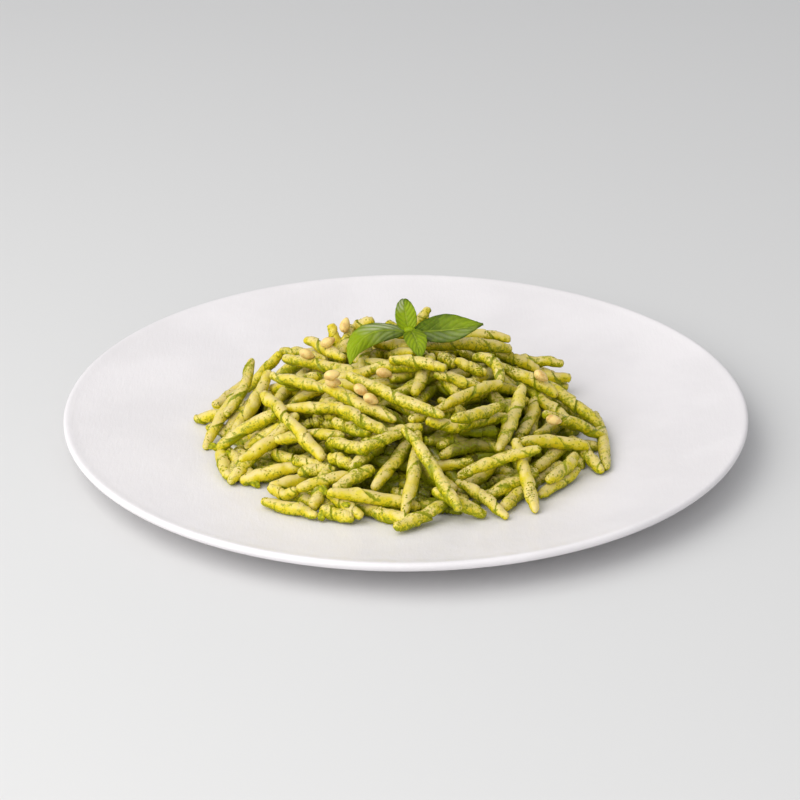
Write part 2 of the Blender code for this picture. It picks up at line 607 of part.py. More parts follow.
def leaf_half_width(along, blunt):
    """Half the width of a basil blade as a share of its full half width: broad near the base."""
    return max(math.sin(math.pi * along ** 0.78) ** blunt if along < 1 else 0.0, 0.07)


def leaf_point(spec, along, across):
    width, fall, fold, wave, bias, blunt = spec[4:]
    centre, side, face = leaf_frame(spec, along)
    share = leaf_half_width(along, blunt)
    half = share * (1 + bias * across) * width / 2 * MM
    drop = (fall * across * across + fold * abs(across)) * share * MM
    ripple = wave * MM * abs(across) * math.sin(along * 11 + 2.0 * across)
    return centre + side * half * across + face * (ripple - drop), face


def leaf_solid(spec, pile):
    """A thin wavy blade, both faces meshed alike, lifted clear of the strands under it."""
    bm = bmesh.new()
    sheets = [[], []]
    for i in range(LEAF_STEPS + 1):
        along = i / LEAF_STEPS
        rows = [[], []]
        for j in range(-LEAF_HALF_STEPS, LEAF_HALF_STEPS + 1):
            point, face = leaf_point(spec, along, j / LEAF_HALF_STEPS)
            floor = pile.clearance(point[None, :2], [1.7 * MM])[0]
            point[2] = max(point[2], floor)
            for row, sign in zip(rows, (1, -1)):
                row.append(bm.verts.new(point + sign * LEAF_THICKNESS / 2 * face))
        for sheet, row in zip(sheets, rows):
            sheet.append(row)
    columns = 2 * LEAF_HALF_STEPS
    for sheet in sheets:
        for low, high in zip(sheet, sheet[1:]):
            for k in range(columns):
                bm.faces.new((low[k], low[k + 1], high[k]))
                bm.faces.new((low[k + 1], high[k + 1], high[k]))
    upper, lower = sheets
    rim = ([(row[0], twin[0]) for row, twin in zip(upper, lower)]
           + list(zip(upper[-1], lower[-1]))[1:]
           + [(row[-1], twin[-1]) for row, twin in zip(upper[-2::-1], lower[-2::-1])]
           + list(zip(upper[0], lower[0]))[-2:0:-1])
    for (a, b), (c, d) in zip(rim, rim[1:] + rim[:1]):
        bm.faces.new((a, b, d, c))
    return bm


def build_sprig(pile):
    """Four leaves joined at a small bud on a short stem."""
    bud = bmesh.new()
    bmesh.ops.create_icosphere(bud, subdivisions=1, radius=BUD_RADIUS)
    bmesh.ops.scale(bud, vec=(1.6, 1.3, 0.9), verts=bud.verts)
    bmesh.ops.translate(bud, vec=BUD, verts=bud.verts)
    sprig = new_node("basil_sprig", bud, (0.10, 0.30, 0.03), 0.4)
    fuse(sprig, [leaf_solid(spec, pile) for spec in LEAVES.values()], "MANIFOLD")
    return sprig


def land(pile, column, row, lean):
    """Centre and half span of a nut that comes down a line of sight until it touches the pile."""
    right, up = view_axes()
    lean = math.radians(lean)
    ahead = (math.cos(lean) * right + math.sin(lean) * up) * (NUT_LENGTH / 2 - NUT_GIRTH)
    eye, line = view_ray((column, row))
    track = eye + line * (VIEW_DISTANCE + np.linspace(-90, 110, 800)[:, None] * MM)
    spots = (track[:, None] + ahead * np.array(((-1.0,), (0.0,), (1.0,)))).reshape(-1, 3)
    sunk = spots[:, 2] < pile.clearance(spots[:, :2], np.full(len(spots), NUT_GIRTH))
    return track[int(sunk.reshape(-1, 3).any(axis=1).argmax())], ahead


def build_nuts(pile):
    """Pine nuts, each a pointed egg lying where it is seen."""
    for index, seen in enumerate(SEEN_NUTS, 1):
        centre, ahead = land(pile, *seen)
        pile.lay(np.array((centre - ahead, centre + ahead)), np.full(2, NUT_GIRTH), -2)
        centre[2] += NUT_LIFT
        bm = bmesh.new()
        bmesh.ops.create_icosphere(bm, subdivisions=2, radius=1.0)
        for vertex in bm.verts:
            x, y, z = vertex.co
            slim = 1.0 - 0.22 * x
            vertex.co = (x * NUT_LENGTH / 2, y * NUT_GIRTH * slim * 0.95, z * NUT_GIRTH * slim * 0.9)
        turn = Vector(ahead).to_track_quat("X", "Z").to_matrix()
        bmesh.ops.rotate(bm, cent=(0, 0, 0), matrix=turn, verts=bm.verts)
        bmesh.ops.translate(bm, vec=centre, verts=bm.verts)
        new_node("pine_nut_%02d" % index, bm, (0.76, 0.53, 0.27), 0.45)


for old in list(bpy.data.objects):
    bpy.data.objects.remove(old, do_unlink=True)
HOME = bpy.data.collections.new("plate of pesto pasta")
bpy.context.scene.collection.children.link(HOME)

PILE, STRANDS = pile_up()
build_plate()
build_heap(PILE, STRANDS)
build_nuts(PILE)
build_sprig(PILE)
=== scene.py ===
"""Plate of pesto pasta: the finished look of the plate, the trofie, the pesto, the pine nuts and the basil.

Laid out as an add-on and run as a script. Every strand of the heap is laid by the same rule as in the
part's source, so it lies where the solid heap is. Metres, +Z up.
"""
import functools
import itertools
import math

import bmesh
import bpy
import numpy as np
from mathutils import Matrix, Vector


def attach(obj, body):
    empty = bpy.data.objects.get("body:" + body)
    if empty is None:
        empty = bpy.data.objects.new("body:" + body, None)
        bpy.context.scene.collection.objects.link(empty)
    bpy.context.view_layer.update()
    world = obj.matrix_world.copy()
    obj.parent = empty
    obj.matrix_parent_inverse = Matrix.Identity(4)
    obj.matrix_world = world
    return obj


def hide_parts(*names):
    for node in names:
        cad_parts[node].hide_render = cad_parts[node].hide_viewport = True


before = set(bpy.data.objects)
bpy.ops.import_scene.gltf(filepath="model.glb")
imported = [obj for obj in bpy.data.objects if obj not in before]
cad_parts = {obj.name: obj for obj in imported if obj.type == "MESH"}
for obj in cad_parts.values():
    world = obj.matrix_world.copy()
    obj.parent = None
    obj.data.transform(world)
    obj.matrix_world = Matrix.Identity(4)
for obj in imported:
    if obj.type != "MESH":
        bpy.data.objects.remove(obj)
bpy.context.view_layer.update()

bl_info = {
    "name": "Plate of pesto pasta",
    "version": (1, 0, 0),
    "blender": (4, 5, 0),
    "location": "View3D > Sidebar > Pasta",
    "description": "Dresses a plate of trofie with pesto, pine nuts and basil",
    "category": "Object",
}

MM = 0.001
SEED = 7
GAP = 0.35 * MM                    # air between two solids that touch in life

# Plate
PLATE_RADIUS = 155.0 * MM
PLATE_FLAT = 70.0 * MM             # radius of the level middle of its floor
PLATE_FLOOR = 8.0 * MM
PLATE_RISE = 9.0 * MM              # from the floor to just inside the lip

# Heap
HEAP_RADII = (92.0 * MM, 88.0 * MM)
HEAP_BACK = -12.0 * MM             # the heap's middle sits this far off the plate's, along Y
HEAP_HEIGHT = 43.0 * MM
MAP_HALF = 126.0 * MM              # half the side of the height map of what is laid, and its cells' size
MAP_CELL = 0.75 * MM
BED_DEPTH = 17.0 * MM              # the bed of hidden strands starts this far below the heap's outline
COVER_DEPTH = 8.0 * MM             # and ends this far below it
BED_TRIES = 170                    # how many strands of the bed are tried, and of the hidden back
BACK_TRIES = 70
BED_SPOTS = 26                     # each tries this many spots within this share of the heap's radii
BED_REACH = 0.96
BACK_SLANT = 0.45                  # the hidden back starts behind a line that runs back this steeply on both
BACK_START = 8.0 * MM              # sides, from this far in front of the plate's middle
HIDDEN_CELLS = 25                  # a strand that shows in fewer cells of the map than this is hidden
MOST_OVER = 2.5 * MM               # how far a strand laid at random may stand over the outline

# Strand
STRAND_LENGTH = 41.0 * MM
STRAND_SPREAD = 4.0 * MM
STRAND_GIRTH = 3.0 * MM            # largest radius
STRAND_TAPER = 0.42                # how much thinner it is at its tips
STATIONS = 17                      # points along its axis
SEEN_GIRTHS = (0.84, 1.04)         # least and most share of the girth for strands placed one by one
HIDDEN_GIRTHS = (0.93, 1.05)       # and for those laid at random
HIDDEN_BOW = 2                     # and how many mm their middles bow aside at most
DROOP = 3.0 * MM                   # how far an end hangs at 20 mm past its last support
SQUASH = 0.25 * MM                 # how far two strands may press into each other

# Reference view: where it is seen from, for the strands and nuts that are placed one by one
VIEW_SIZE = 800
VIEW_ELEVATION = math.radians(24.89)
VIEW_ROLL = math.radians(-0.25)
VIEW_DISTANCE = 1150.0 * MM
VIEW_FOCAL = 2535.85
VIEW_TARGET = (-2.58 * MM, -5.02 * MM, 20.0 * MM)

# Seen strands
STUBS = 37                         # how many of the table's rows, from the first on, are stubs in the gaps
STUB_DEPTH = 11.0 * MM             # how far the axes of the stubs and of the others lie under the outline
SEEN_DEPTH = 6.0 * MM
CREST_BACK = 35.0 * MM             # no seen strand lies further back than this
SETTLE_ROUNDS = 60
SETTLE_PULL = 0.06                 # share of the way back to the outline that a strand goes in each round
SETTLE_PUSH = 0.4                  # share of an overlap that each of its two strands gives way
HIDDEN_RUN = 9.0 * MM              # how far a seen strand may run on under its neighbours

# Strands that show in the reference view, lowest first: the two ends (column, row), how far the middle bows
# to the left of the way from the first to the second (mm), and which ends run on under the neighbours.
SEEN_STRANDS = (
    # stubs that show in the gaps
    ((403, 405), (424, 411), 0, "ab"), ((430, 384), (447, 389), 0, "ab"), ((380, 392), (398, 404), 0, "ab"),
    ((488, 392), (500, 403), 0, "ab"), ((502, 388), (514, 391), 0, "ab"), ((498, 470), (515, 475), 0, "a"),
    ((472, 484), (487, 470), 0, "ab"), ((427, 489), (447, 495), 0, "b"), ((418, 492), (430, 498), 0, "a"),
    ((391, 490), (407, 496), 0, "b"), ((440, 467), (453, 465), 0, "ab"), ((380, 457), (396, 464), 0, "ab"),
    ((380, 449), (397, 453), 0, "b"), ((423, 473), (437, 480), 0, "ab"), ((303, 427), (319, 421), 0, "b"),
    ((301, 406), (320, 399), 0, "b"), ((282, 406), (300, 394), 0, "ab"), ((290, 408), (305, 394), 0, "ab"),
    ((272, 399), (285, 394), 0, "ab"), ((270, 392), (286, 387), 0, "ab"), ((303, 380), (320, 376), 0, "a"),
    ((320, 402), (348, 405), 0, "b"), ((343, 385), (362, 388), 0, "ab"), ((236, 421), (250, 406), 0, "ab"),
    ((258, 459), (271, 456), 0, "ab"), ((253, 463), (263, 471), 0, "a"), ((372, 459), (391, 463), 0, "ab"),
    ((289, 483), (303, 480), 0, "ab"), ((358, 483), (378, 479), 0, "ab"), ((337, 360), (350, 367), 0, "ab"),
    ((536, 481), (545, 475), 0, "b"), ((374, 356), (392, 351), 0, "ab"), ((417, 431), (431, 426), 0, "ab"),
    ((227, 449), (239, 463), 0, "b"), ((395, 357), (405, 354), 0, "b"), ((557, 403), (577, 416), 0, "ab"),
    ((297, 497), (312, 501), 0, "ab"),
    # right flank and front right
    ((553, 384), (568, 389), 0, "a"), ((460, 337), (511, 339), 1, "a"), ((519, 360), (564, 363), 0, "a"),
    ((541, 375), (571, 379), 0, "a"),
    ((599, 433), (606, 469), 1, "a"), ((535, 435), (554, 427), 0, "b"), ((541, 397), (562, 415), -1, "ab"),
    ((584, 452), (603, 472), 0, "a"), ((539, 496), (563, 480), 0, "b"), ((536, 470), (553, 455), 0, "b"),
    ((547, 481), (577, 454), -1, ""), ((535, 397), (516, 439), 2, ""), ((502, 509), (523, 494), 1, "b"),
    ((489, 495), (519, 480), 0, "b"), ((548, 390), (603, 430), 2, "a"), ((550, 417), (606, 438), 1, "a"),
    ((536, 443), (589, 447), 1, "a"), ((521, 459), (536, 513), 0, "a"), ((496, 354), (539, 371), 1, ""),
    ((499, 367), (558, 396), 1, ""),
    # left flank
    ((215, 407), (236, 392), 0, "b"), ((194, 419), (236, 412), 0, "b"), ((220, 449), (231, 478), -1, ""),
    ((230, 484), (247, 466), 1, "b"), ((279, 352), (301, 353), 0, "b"), ((281, 353), (259, 377), 0, "b"),
    ((229, 408), (205, 449), -1, "a"),
    ((252, 359), (225, 416), 2, ""), ((270, 371), (231, 437), 1, ""), ((275, 430), (245, 449), 0, "a"),
    ((278, 416), (217, 450), -2, "a"), ((282, 426), (239, 461), 2, "a"), ((262, 394), (288, 422), 1, ""),
    # front left
    ((274, 441), (297, 437), 0, "b"), ((273, 452), (316, 460), -2, ""), ((240, 482), (302, 467), 1, ""),
    ((312, 465), (336, 470), 0, "a"), ((298, 473), (336, 472), 1, ""), ((270, 485), (298, 490), -3, ""),
    ((261, 501), (318, 515), 0, ""), ((320, 490), (313, 509), 0, "a"), ((297, 490), (354, 475), 1, ""),
    ((329, 458), (351, 468), 1, ""), ((350, 469), (368, 455), 0, "b"), ((353, 479), (373, 468), 0, "a"),
    # front
    ((355, 507), (400, 518), 0, "b"), ((321, 507), (354, 518), -1, ""), ((345, 505), (362, 518), 0, "a"),
    ((327, 493), (400, 504), 1, "b"), ((394, 528), (449, 500), -1, ""), ((451, 499), (486, 516), 0, "a"),
    ((456, 481), (508, 518), 1, ""), ((409, 443), (373, 490), 0, "a"), ((415, 449), (404, 514), 1, "a"),
    # middle left
    ((310, 433), (346, 437), 0, ""), ((361, 445), (403, 433), 1, "b"), ((286, 408), (361, 413), 1, ""),
    ((286, 417), (324, 460), 0, ""), ((333, 420), (371, 433), -1, ""), ((328, 441), (368, 451), 0, ""),
    ((356, 417), (387, 434), 0, "a"), ((270, 375), (327, 390), 0, ""), ((323, 386), (396, 421), 0, ""),
    # middle
    ((390, 379), (413, 375), 0, "b"), ((424, 373), (414, 395), 0, "a"), ((446, 380), (458, 396), 0, "a"),
    ((438, 356), (457, 365), 0, ""), ((454, 361), (487, 374), 0, ""), ((434, 373), (482, 388), 0, ""),
    ((403, 432), (380, 441), 0, "b"), ((409, 420), (434, 413), 0, "b"), ((426, 444), (448, 433), 0, "b"),
    ((438, 447), (462, 436), 0, "b"), ((440, 456), (500, 441), 1, ""), ((458, 431), (502, 434), 1, ""),
    ((426, 420), (472, 427), -1, ""), ((480, 421), (507, 417), 0, "a"), ((451, 419), (503, 405), -1, ""),
    ((473, 358), (500, 383), 5, ""), ((438, 409), (502, 383), 1, ""), ((522, 386), (498, 451), 1, ""),
    ((457, 477), (541, 448), 1, ""),
    # crest
    ((352, 329), (374, 320), 0, ""), ((387, 321), (399, 334), 0, "b"), ((299, 353), (328, 360), 0, ""),
    ((330, 324), (337, 342), 0, "b"), ((351, 326), (344, 349), 0, "b"),
    ((306, 339), (344, 359), 0, ""), ((370, 368), (409, 366), 0, "b"), ((373, 344), (405, 346), 0, "b"),
    ((369, 344), (361, 370), -1, "a"),
    ((430, 308), (419, 321), 0, "b"), ((283, 358), (361, 373), 0, ""), ((347, 374), (444, 416), -1, ""),
    ((389, 360), (446, 369), 1, ""), ((424, 347), (512, 350), 2, ""), ((403, 427), (459, 511), 1, ""),
)

# Pine nuts in the reference view, lowest first: column, row, and the angle that each makes with the row
SEEN_NUTS = ((328, 342, 25), (345, 325, 75), (307, 354, -20), (361, 390, -35), (371, 399, -25),
             (384, 373, -10), (333, 382, -8), (332, 375, 10), (541, 376, -35), (554, 420, -12))
NUT_LENGTH = 7.2 * MM
NUT_GIRTH = 2.4 * MM

# Basil: each leaf's midrib from base over a control point to the tip, the way its blade spreads, its
# width, how far its edges fall in a curve and in a fold (down is positive), how it waves (all mm), how
# much wider it is on one side, and how blunt it is (small is blunt)
LEAVES = {
    "right": ((3.5, 1, 51.2), (20, 1, 50.9), (35, 0, 55.0), (-0.1, 0.8, 0.6),
              14.6, 0.0, -1.7, 0.4, 0.0, 0.85),
    "left": ((0.5, 1, 50.8), (-21.4, 1, 56.2), (-24.6, -21, 45.0), (-0.6, 0.6, 0.5),
             11.4, 0.9, 1.6, 0.4, 0.12, 0.8),
    "back": ((1.6, 2, 51.3), (-0.3, 4, 58.5), (-0.6, 8, 64.2), (1.0, 0.0, 0.0),
             9.6, -1.2, 0.0, 0.3, 0.0, 0.45),
    "front": ((2.2, 0, 51.9), (5, -8, 53.6), (6.4, -20, 47.6), (1.0, 0.25, 0.1),
              10.2, 0.8, -0.8, 0.3, 0.0, 0.6),
}
BUD = (1.9 * MM, 1.0 * MM, 51.9 * MM)
BUD_RADII = (2.6 * MM, 2.0 * MM, 1.7 * MM)

# Hidden strands and the sheet of painted shade inside the heap
OPEN_SINK = 2.6 * MM               # how far the hidden strands stay under the top of an open gap
SINK_SLANT = 3.2 * MM              # and how much further on the right, where the heap is looser
STUFFING = 260                     # how many hidden strands are tried in what room is left
STUFFING_SPOTS = 24                # at how many spots each, within this share of the heap's radii
STUFFING_REACH = 1.02
SHORTEST = 0.35                    # the least share of a strand's length that they have
LEAST_BARE = 4.0 * MM              # each has to close at least this long a stretch of open gap
MOST_POKE = 5.2 * MM               # and may cut this far into the strands over it
INSIDE_SINK = 17.0 * MM            # the painted shade inside lies this far under the blurred pile
INSIDE_SPREAD = 0.76               # and reaches this share of the heap's radii

# Pesto: its thick clumps are given by column and row in the reference view
CLUMPS = ((255, 484), (323, 490), (322, 516), (213, 447))
CLUMP_SIZE = 1.9 * MM
SAUCED_SHARE = 0.45                # how many of the strands that show have more sauce on them
SAUCE_DEPTH = 5.0 * MM             # chopped basil and dabs lie on strands no deeper than this
DARK_DEPTH = 9.0 * MM              # and strands this deep are in full painted shade

# How light each leaf's green is at its base and how much lighter it gets towards the tip, partly its own tone
# and partly painted light, such as the glow of light through the back leaf, how much darker in painted shade
# the side is that its spread points away from, the strength of the painted grey sheen on the side that its
# spread points to and on the other, from where to where the sheen goes along the leaf, and how strong the
# ribs are
LEAF_LOOKS = {
    "right": (-0.08, 0.0, 0.30, (0.0, 0.28), (0.0, 0.95), 0.45),
    "left": (-0.2, 1.1, 0.0, (0.9, 0.3), (0.0, 0.60), 0.7),
    "back": (1.05, -1.3, 0.0, (0.0, 0.95), (0.55, 1.3), 0.9),
    "front": (0.25, -0.3, 0.0, (0.0, 0.0), (0.0, 1.0), 1.0),
}
LEAF_RIBS = 6.0                    # side ribs along a leaf

LIGHT_AIM = (0.0, 0.0, 0.02)       # both lamps shine on the middle of the dish


# ---------------------------------------------------------------- outlines

def plate_top(radius):
    """Height of the plate's upper side at a radius (a number or an array)."""
    rise = np.clip((np.asarray(radius) - PLATE_FLAT) / (PLATE_RADIUS - PLATE_FLAT), 0.0, 1.0)
    return PLATE_FLOOR + PLATE_RISE * rise ** 2


def heap_top(x, y):
    """Height of the heap's outline over a point: a low dome, and the plate beyond its foot."""
    spread = (x / HEAP_RADII[0]) ** 2 + ((y - HEAP_BACK) / HEAP_RADII[1]) ** 2
    return np.maximum(plate_top(np.hypot(x, y)), PLATE_FLOOR + HEAP_HEIGHT * (1.0 - spread))


# ---------------------------------------------------------------- reference view

def view_axes():
    """The reference view's right and up directions."""
    right = np.array((1.0, 0.0, 0.0))
    up = np.array((0.0, math.sin(VIEW_ELEVATION), math.cos(VIEW_ELEVATION)))
    cos, sin = math.cos(VIEW_ROLL), math.sin(VIEW_ROLL)
    return cos * right + sin * up, cos * up - sin * right


def view_ray(pixel):
    """The eye, and the direction in which it sees a pixel (column, row), one unit deep."""
    ahead = np.array((0.0, math.cos(VIEW_ELEVATION), -math.sin(VIEW_ELEVATION)))
    right, up = view_axes()
    across, down = (np.asarray(pixel, float) - VIEW_SIZE / 2) / VIEW_FOCAL
    return np.array(VIEW_TARGET) - VIEW_DISTANCE * ahead, ahead + across * right - down * up


def view_plane(point):
    """A point seen square on: its distances right of and above the middle of the view."""
    away = np.asarray(point) - np.array(VIEW_TARGET)
    return np.array([away @ axis for axis in view_axes()])


def sight_depth(ray, rise):
    """Depth at which a ray first meets the heap's outline raised by rise, or passes its crest closest."""
    eye, line = ray
    depths = VIEW_DISTANCE + np.linspace(-150, 120, 400) * MM
    x, y, z = (eye + line * depths[:, None]).T
    above = np.where(y < CREST_BACK, z - rise - heap_top(x, y), math.inf)
    below = np.flatnonzero(above < 0)
    return depths[below[0] if len(below) else above.argmin()]


# ---------------------------------------------------------------- the pile

MAP_LINE = np.arange(-MAP_HALF, MAP_HALF + MAP_CELL / 2, MAP_CELL)
PLACES = np.linspace(-1, 1, STATIONS)
DISC = np.array([(0.0, 0.0)] + [(ring * math.cos(turn), ring * math.sin(turn))
                                for ring, count in ((0.5, 6), (0.92, 12))
                                for turn in np.arange(count) * 2 * math.pi / count])
DISC_RISE = np.sqrt(1.0 - (DISC ** 2).sum(1))


def map_cell(points):
    """Rows and columns of the map's cells under points."""
    cell = np.rint((points[..., :2] + MAP_HALF) / MAP_CELL).astype(int).clip(0, len(MAP_LINE) - 1)
    return cell[..., 1], cell[..., 0]


def run_along(steps):
    """Distance along a path to each of its points, from the lengths of its steps."""
    return np.concatenate(((0.0,), np.cumsum(steps)))


class Pile:
    """Height map of what already lies on the plate."""

    def __init__(self):
        self.x, self.y = x, y = np.meshgrid(MAP_LINE, MAP_LINE)
        bed = heap_top(x, y) - BED_DEPTH - 0.1 * (HEAP_HEIGHT + PLATE_FLOOR - heap_top(x, y))
        self.top = np.maximum(plate_top(np.hypot(x, y)) + GAP, bed)
        self.owner = np.full(x.shape, -1)

    def clearance(self, plan, girth):
        """Lowest height of a ball's centre over each point of a path."""
        girth = np.asarray(girth)[:, None]
        spots = plan[:, None, :] + DISC[None] * girth[..., None]
        return (self.top[map_cell(spots)] + girth * DISC_RISE).max(axis=1)

    def rest(self, plan, girth):
        """Heights of a strand's axis when it is let down over a path: it lies on the two supports
        that carry its middle, and its free ends hang a little."""
        clear = self.clearance(plan, girth)
        run = run_along(np.hypot(*np.diff(plan, axis=0).T))
        run -= run[-1] / 2
        left, right = np.flatnonzero(run < 0), np.flatnonzero(run > 0)
        slope = (clear[right][None] - clear[left][:, None]) / (run[right][None] - run[left][:, None])
        middle = clear[left][:, None] - slope * run[left][:, None]
        i, j = np.unravel_index(middle.argmax(), middle.shape)
        line = middle[i, j] + slope[i, j] * run
        over = np.maximum(run - run[right[j]], 0) + np.maximum(run[left[i]] - run, 0)
        line = np.maximum(line - DROOP * (over / (20 * MM)) ** 2, clear)
        for _ in range(2):
            padded = np.concatenate(((2 * line[0] - line[1],), line, (2 * line[-1] - line[-2],)))
            line = np.maximum((padded[:-2] + 2 * line + padded[2:]) / 4, clear - SQUASH)
        return line

    def lay(self, axis, girth, tag):
        """Add a strand to the map, and mark the cells in which it is uppermost."""
        run = run_along(np.linalg.norm(np.diff(axis, axis=0), axis=1))
        fine = np.linspace(0, run[-1], int(run[-1] / (0.7 * MAP_CELL)) + 2)
        x, y, z, ball = (np.interp(fine, run, value) for value in (*axis.T, girth))
        low = np.array((x.min(), y.min())) - STRAND_GIRTH
        high = np.array((x.max(), y.max())) + STRAND_GIRTH
        (i0, j0), (i1, j1) = (np.rint((corner + MAP_HALF) / MAP_CELL).astype(int).clip(0, len(MAP_LINE))
                              for corner in (low, high))
        window = np.s_[j0:j1 + 1, i0:i1 + 1]
        apart = (self.x[window][..., None] - x) ** 2 + (self.y[window][..., None] - y) ** 2
        skin = z + np.sqrt(np.maximum(ball ** 2 - apart, 0.0))
        skin = np.where(apart < ball ** 2, skin, -1.0).max(axis=2)
        higher = skin > self.top[window]
        self.top[window][higher] = skin[higher]
        self.owner[window][higher] = tag


# ---------------------------------------------------------------- laying the strands

def any_girth(rng, low, high):
    """Radii of a strand at its stations: a spindle with round tips, its size picked between two shares."""
    place = np.abs(PLACES)
    return STRAND_GIRTH * rng.uniform(low, high) * (1.0 - STRAND_TAPER * place ** 3.4) * np.sqrt(
        np.maximum(1.0 - place ** 14, 0.015))


def any_spot(rng, reach):
    """A random place in the heap's plan, a random direction, and how steep the outline is along it."""
    spread, turn = reach * math.sqrt(rng.uniform()), rng.uniform(0, 2 * math.pi)
    heading = rng.uniform(0, 2 * math.pi)
    centre = spread * np.array(HEAP_RADII) * (math.cos(turn), math.sin(turn)) + (0.0, HEAP_BACK)
    steep = 2 * HEAP_HEIGHT * spread / HEAP_RADII[0] * abs(math.cos(heading - turn))
    return centre, np.array((math.cos(heading), math.sin(heading))), steep


def plan_path(start, end, bow):
    """Points in plan from start to end; the middle bows to the left."""
    place = PLACES[:, None]
    ahead = (end - start) / max(np.hypot(*(end - start)), 1e-6)
    aside = np.array((-ahead[1], ahead[0]))
    return (start + end) / 2 + (end - start) / 2 * place + aside * bow * (1 - place ** 2)


class SeenStrand:
    """A strand placed one by one: its shown ends slide along their lines of sight."""

    def __init__(self, row, sunk, rng):
        first, second, bow, which = row
        self.rays = view_ray(first), view_ray(second)
        full = STRAND_LENGTH + rng.uniform(-1, 1) * STRAND_SPREAD
        self.girth = any_girth(rng, *SEEN_GIRTHS)
        self.depth = np.array([sight_depth(ray, -sunk) for ray in self.rays])
        start, end = self.ends()
        flat = np.array([view_plane(start), view_plane(end)])
        across = math.dist(*flat)
        reach = math.sqrt(max((STRAND_LENGTH + STRAND_SPREAD) ** 2 - across ** 2, (6 * MM) ** 2))
        self.reach = min(reach, 0.9 * across + 3 * MM)
        self.lean, self.give = 0.0, self.reach
        self.hold_slope()
        self.lean, self.give = self.depth[1] - self.depth[0], 0.35 * across + 2 * MM
        hidden = max(full - math.dist(*self.ends()), 0.0) / max(len(which), 1)
        before, after = (min(hidden, HIDDEN_RUN) * (end in which) / max(across, 1e-6) for end in "ab")
        self.places = np.linspace(-before, 1 + after, STATIONS)
        aside = np.array((flat[0][1] - flat[1][1], flat[1][0] - flat[0][0])) / max(across, 1e-6)
        self.bow = aside * bow * MM * (1 - PLACES[:, None] ** 2)
        self.flat = flat[0] + (flat[1] - flat[0]) * self.places[:, None] + self.bow
        self.home = self.depth.copy()

    def ends(self):
        return [eye + line * depth for (eye, line), depth in zip(self.rays, self.depth)]

    def depths(self):
        return self.depth[0] + (self.depth[1] - self.depth[0]) * self.places

    def shift(self, station, amount):
        """Slide the strand along the view so that one station moves by an amount."""
        weight = np.clip((1 - self.places[station], self.places[station]), 0.0, 1.0)
        self.depth += amount * weight / (weight ** 2).sum()

    def hold_slope(self):
        """Keep the strand's slope along the view near that of the outline under it."""
        middle, difference = self.depth.mean(), self.depth[1] - self.depth[0]
        difference = np.clip(difference, self.lean - self.give, self.lean + self.give)
        self.depth = middle + difference * np.array((-0.5, 0.5))

    def clear_plate(self):
        for _ in range(3):
            axis = self.axis()
            low = plate_top(np.hypot(*axis[:, :2].T)) + GAP + self.girth - axis[:, 2]
            worst = low.argmax()
            if low[worst] > 0:
                self.shift(worst, -low[worst] / math.sin(VIEW_ELEVATION))

    def axis(self):
        start, end = self.ends()
        right, up = view_axes()
        return (start + (end - start) * self.places[:, None]
                + self.bow[:, :1] * right + self.bow[:, 1:] * up)


def overlaps(strands):
    """For each lower and upper strand that cross in the view: the depth their stations must differ by."""
    pairs = []
    for low, high in itertools.combinations(range(len(strands)), 2):
        apart = np.linalg.norm(strands[low].flat[:, None] - strands[high].flat[None], axis=2)
        reach = strands[low].girth[:, None] + strands[high].girth[None] - SQUASH
        if (apart < reach).any():
            need = np.where(apart < reach, np.sqrt(np.maximum(reach ** 2 - apart ** 2, 0.0)), -1.0)
            pairs.append((strands[low], strands[high], need))
    return pairs


def settle_seen(rng):
    """The seen strands, slid along the view until each lies clear on top of the ones listed before it,
    and otherwise as near the heap's outline as it can."""
    strands = [SeenStrand(row, STUB_DEPTH if index < STUBS else SEEN_DEPTH, rng)
               for index, row in enumerate(SEEN_STRANDS)]
    pairs = overlaps(strands)
    for _ in range(SETTLE_ROUNDS):
        for strand in strands:
            strand.depth += SETTLE_PULL * (strand.home - strand.depth)
        for low, high, need in pairs:
            lack = need - (low.depths()[:, None] - high.depths()[None])
            lack[need < 0] = -1.0
            k, m = np.unravel_index(lack.argmax(), lack.shape)
            if lack[k, m] > 0:
                low.shift(k, lack[k, m] * SETTLE_PUSH)
                high.shift(m, -lack[k, m] * SETTLE_PUSH)
        for strand in strands:
            strand.hold_slope()
            strand.clear_plate()
    return [(strand.axis(), strand.girth) for strand in strands]


def fill(pile, strands, rng, count, depth, where):
    """Lay strands where the pile lies deepest below the heap's outline less a depth."""
    for _ in range(count):
        best, best_room = None, 0.0
        for _ in range(BED_SPOTS):
            centre, ahead, steep = any_spot(rng, BED_REACH)
            ahead = (STRAND_LENGTH + rng.uniform(-1, 1) * STRAND_SPREAD) / 2 / math.hypot(1, steep) * ahead
            if not all(where(*spot) for spot in (centre - ahead, centre, centre + ahead)):
                continue
            plan = plan_path(centre - ahead, centre + ahead, rng.uniform(-HIDDEN_BOW, HIDDEN_BOW) * MM)
            girth = any_girth(rng, *HIDDEN_GIRTHS)
            rest = pile.rest(plan, girth)
            room = heap_top(*plan.T) - depth - rest - girth
            if room.mean() > best_room and room.min() > -MOST_OVER:
                best, best_room = (np.column_stack((plan, rest)), girth), room.mean()
        if best:
            pile.lay(*best, len(strands))
            strands.append(best)


@functools.lru_cache(maxsize=None)
def laid_heap():
    """The finished pile's map, and its strands: those of the bed and those over it. Laid once."""
    rng = np.random.default_rng(SEED)
    pile, strands = Pile(), []
    fill(pile, strands, rng, BED_TRIES, COVER_DEPTH, lambda x, y: True)
    bed = len(strands)
    for strand in settle_seen(rng):
        pile.lay(*strand, len(strands))
        strands.append(strand)
    fill(pile, strands, rng, BACK_TRIES, 0.0, lambda x, y: y > BACK_SLANT * abs(x) - BACK_START)
    return pile, strands[:bed], strands[bed:]


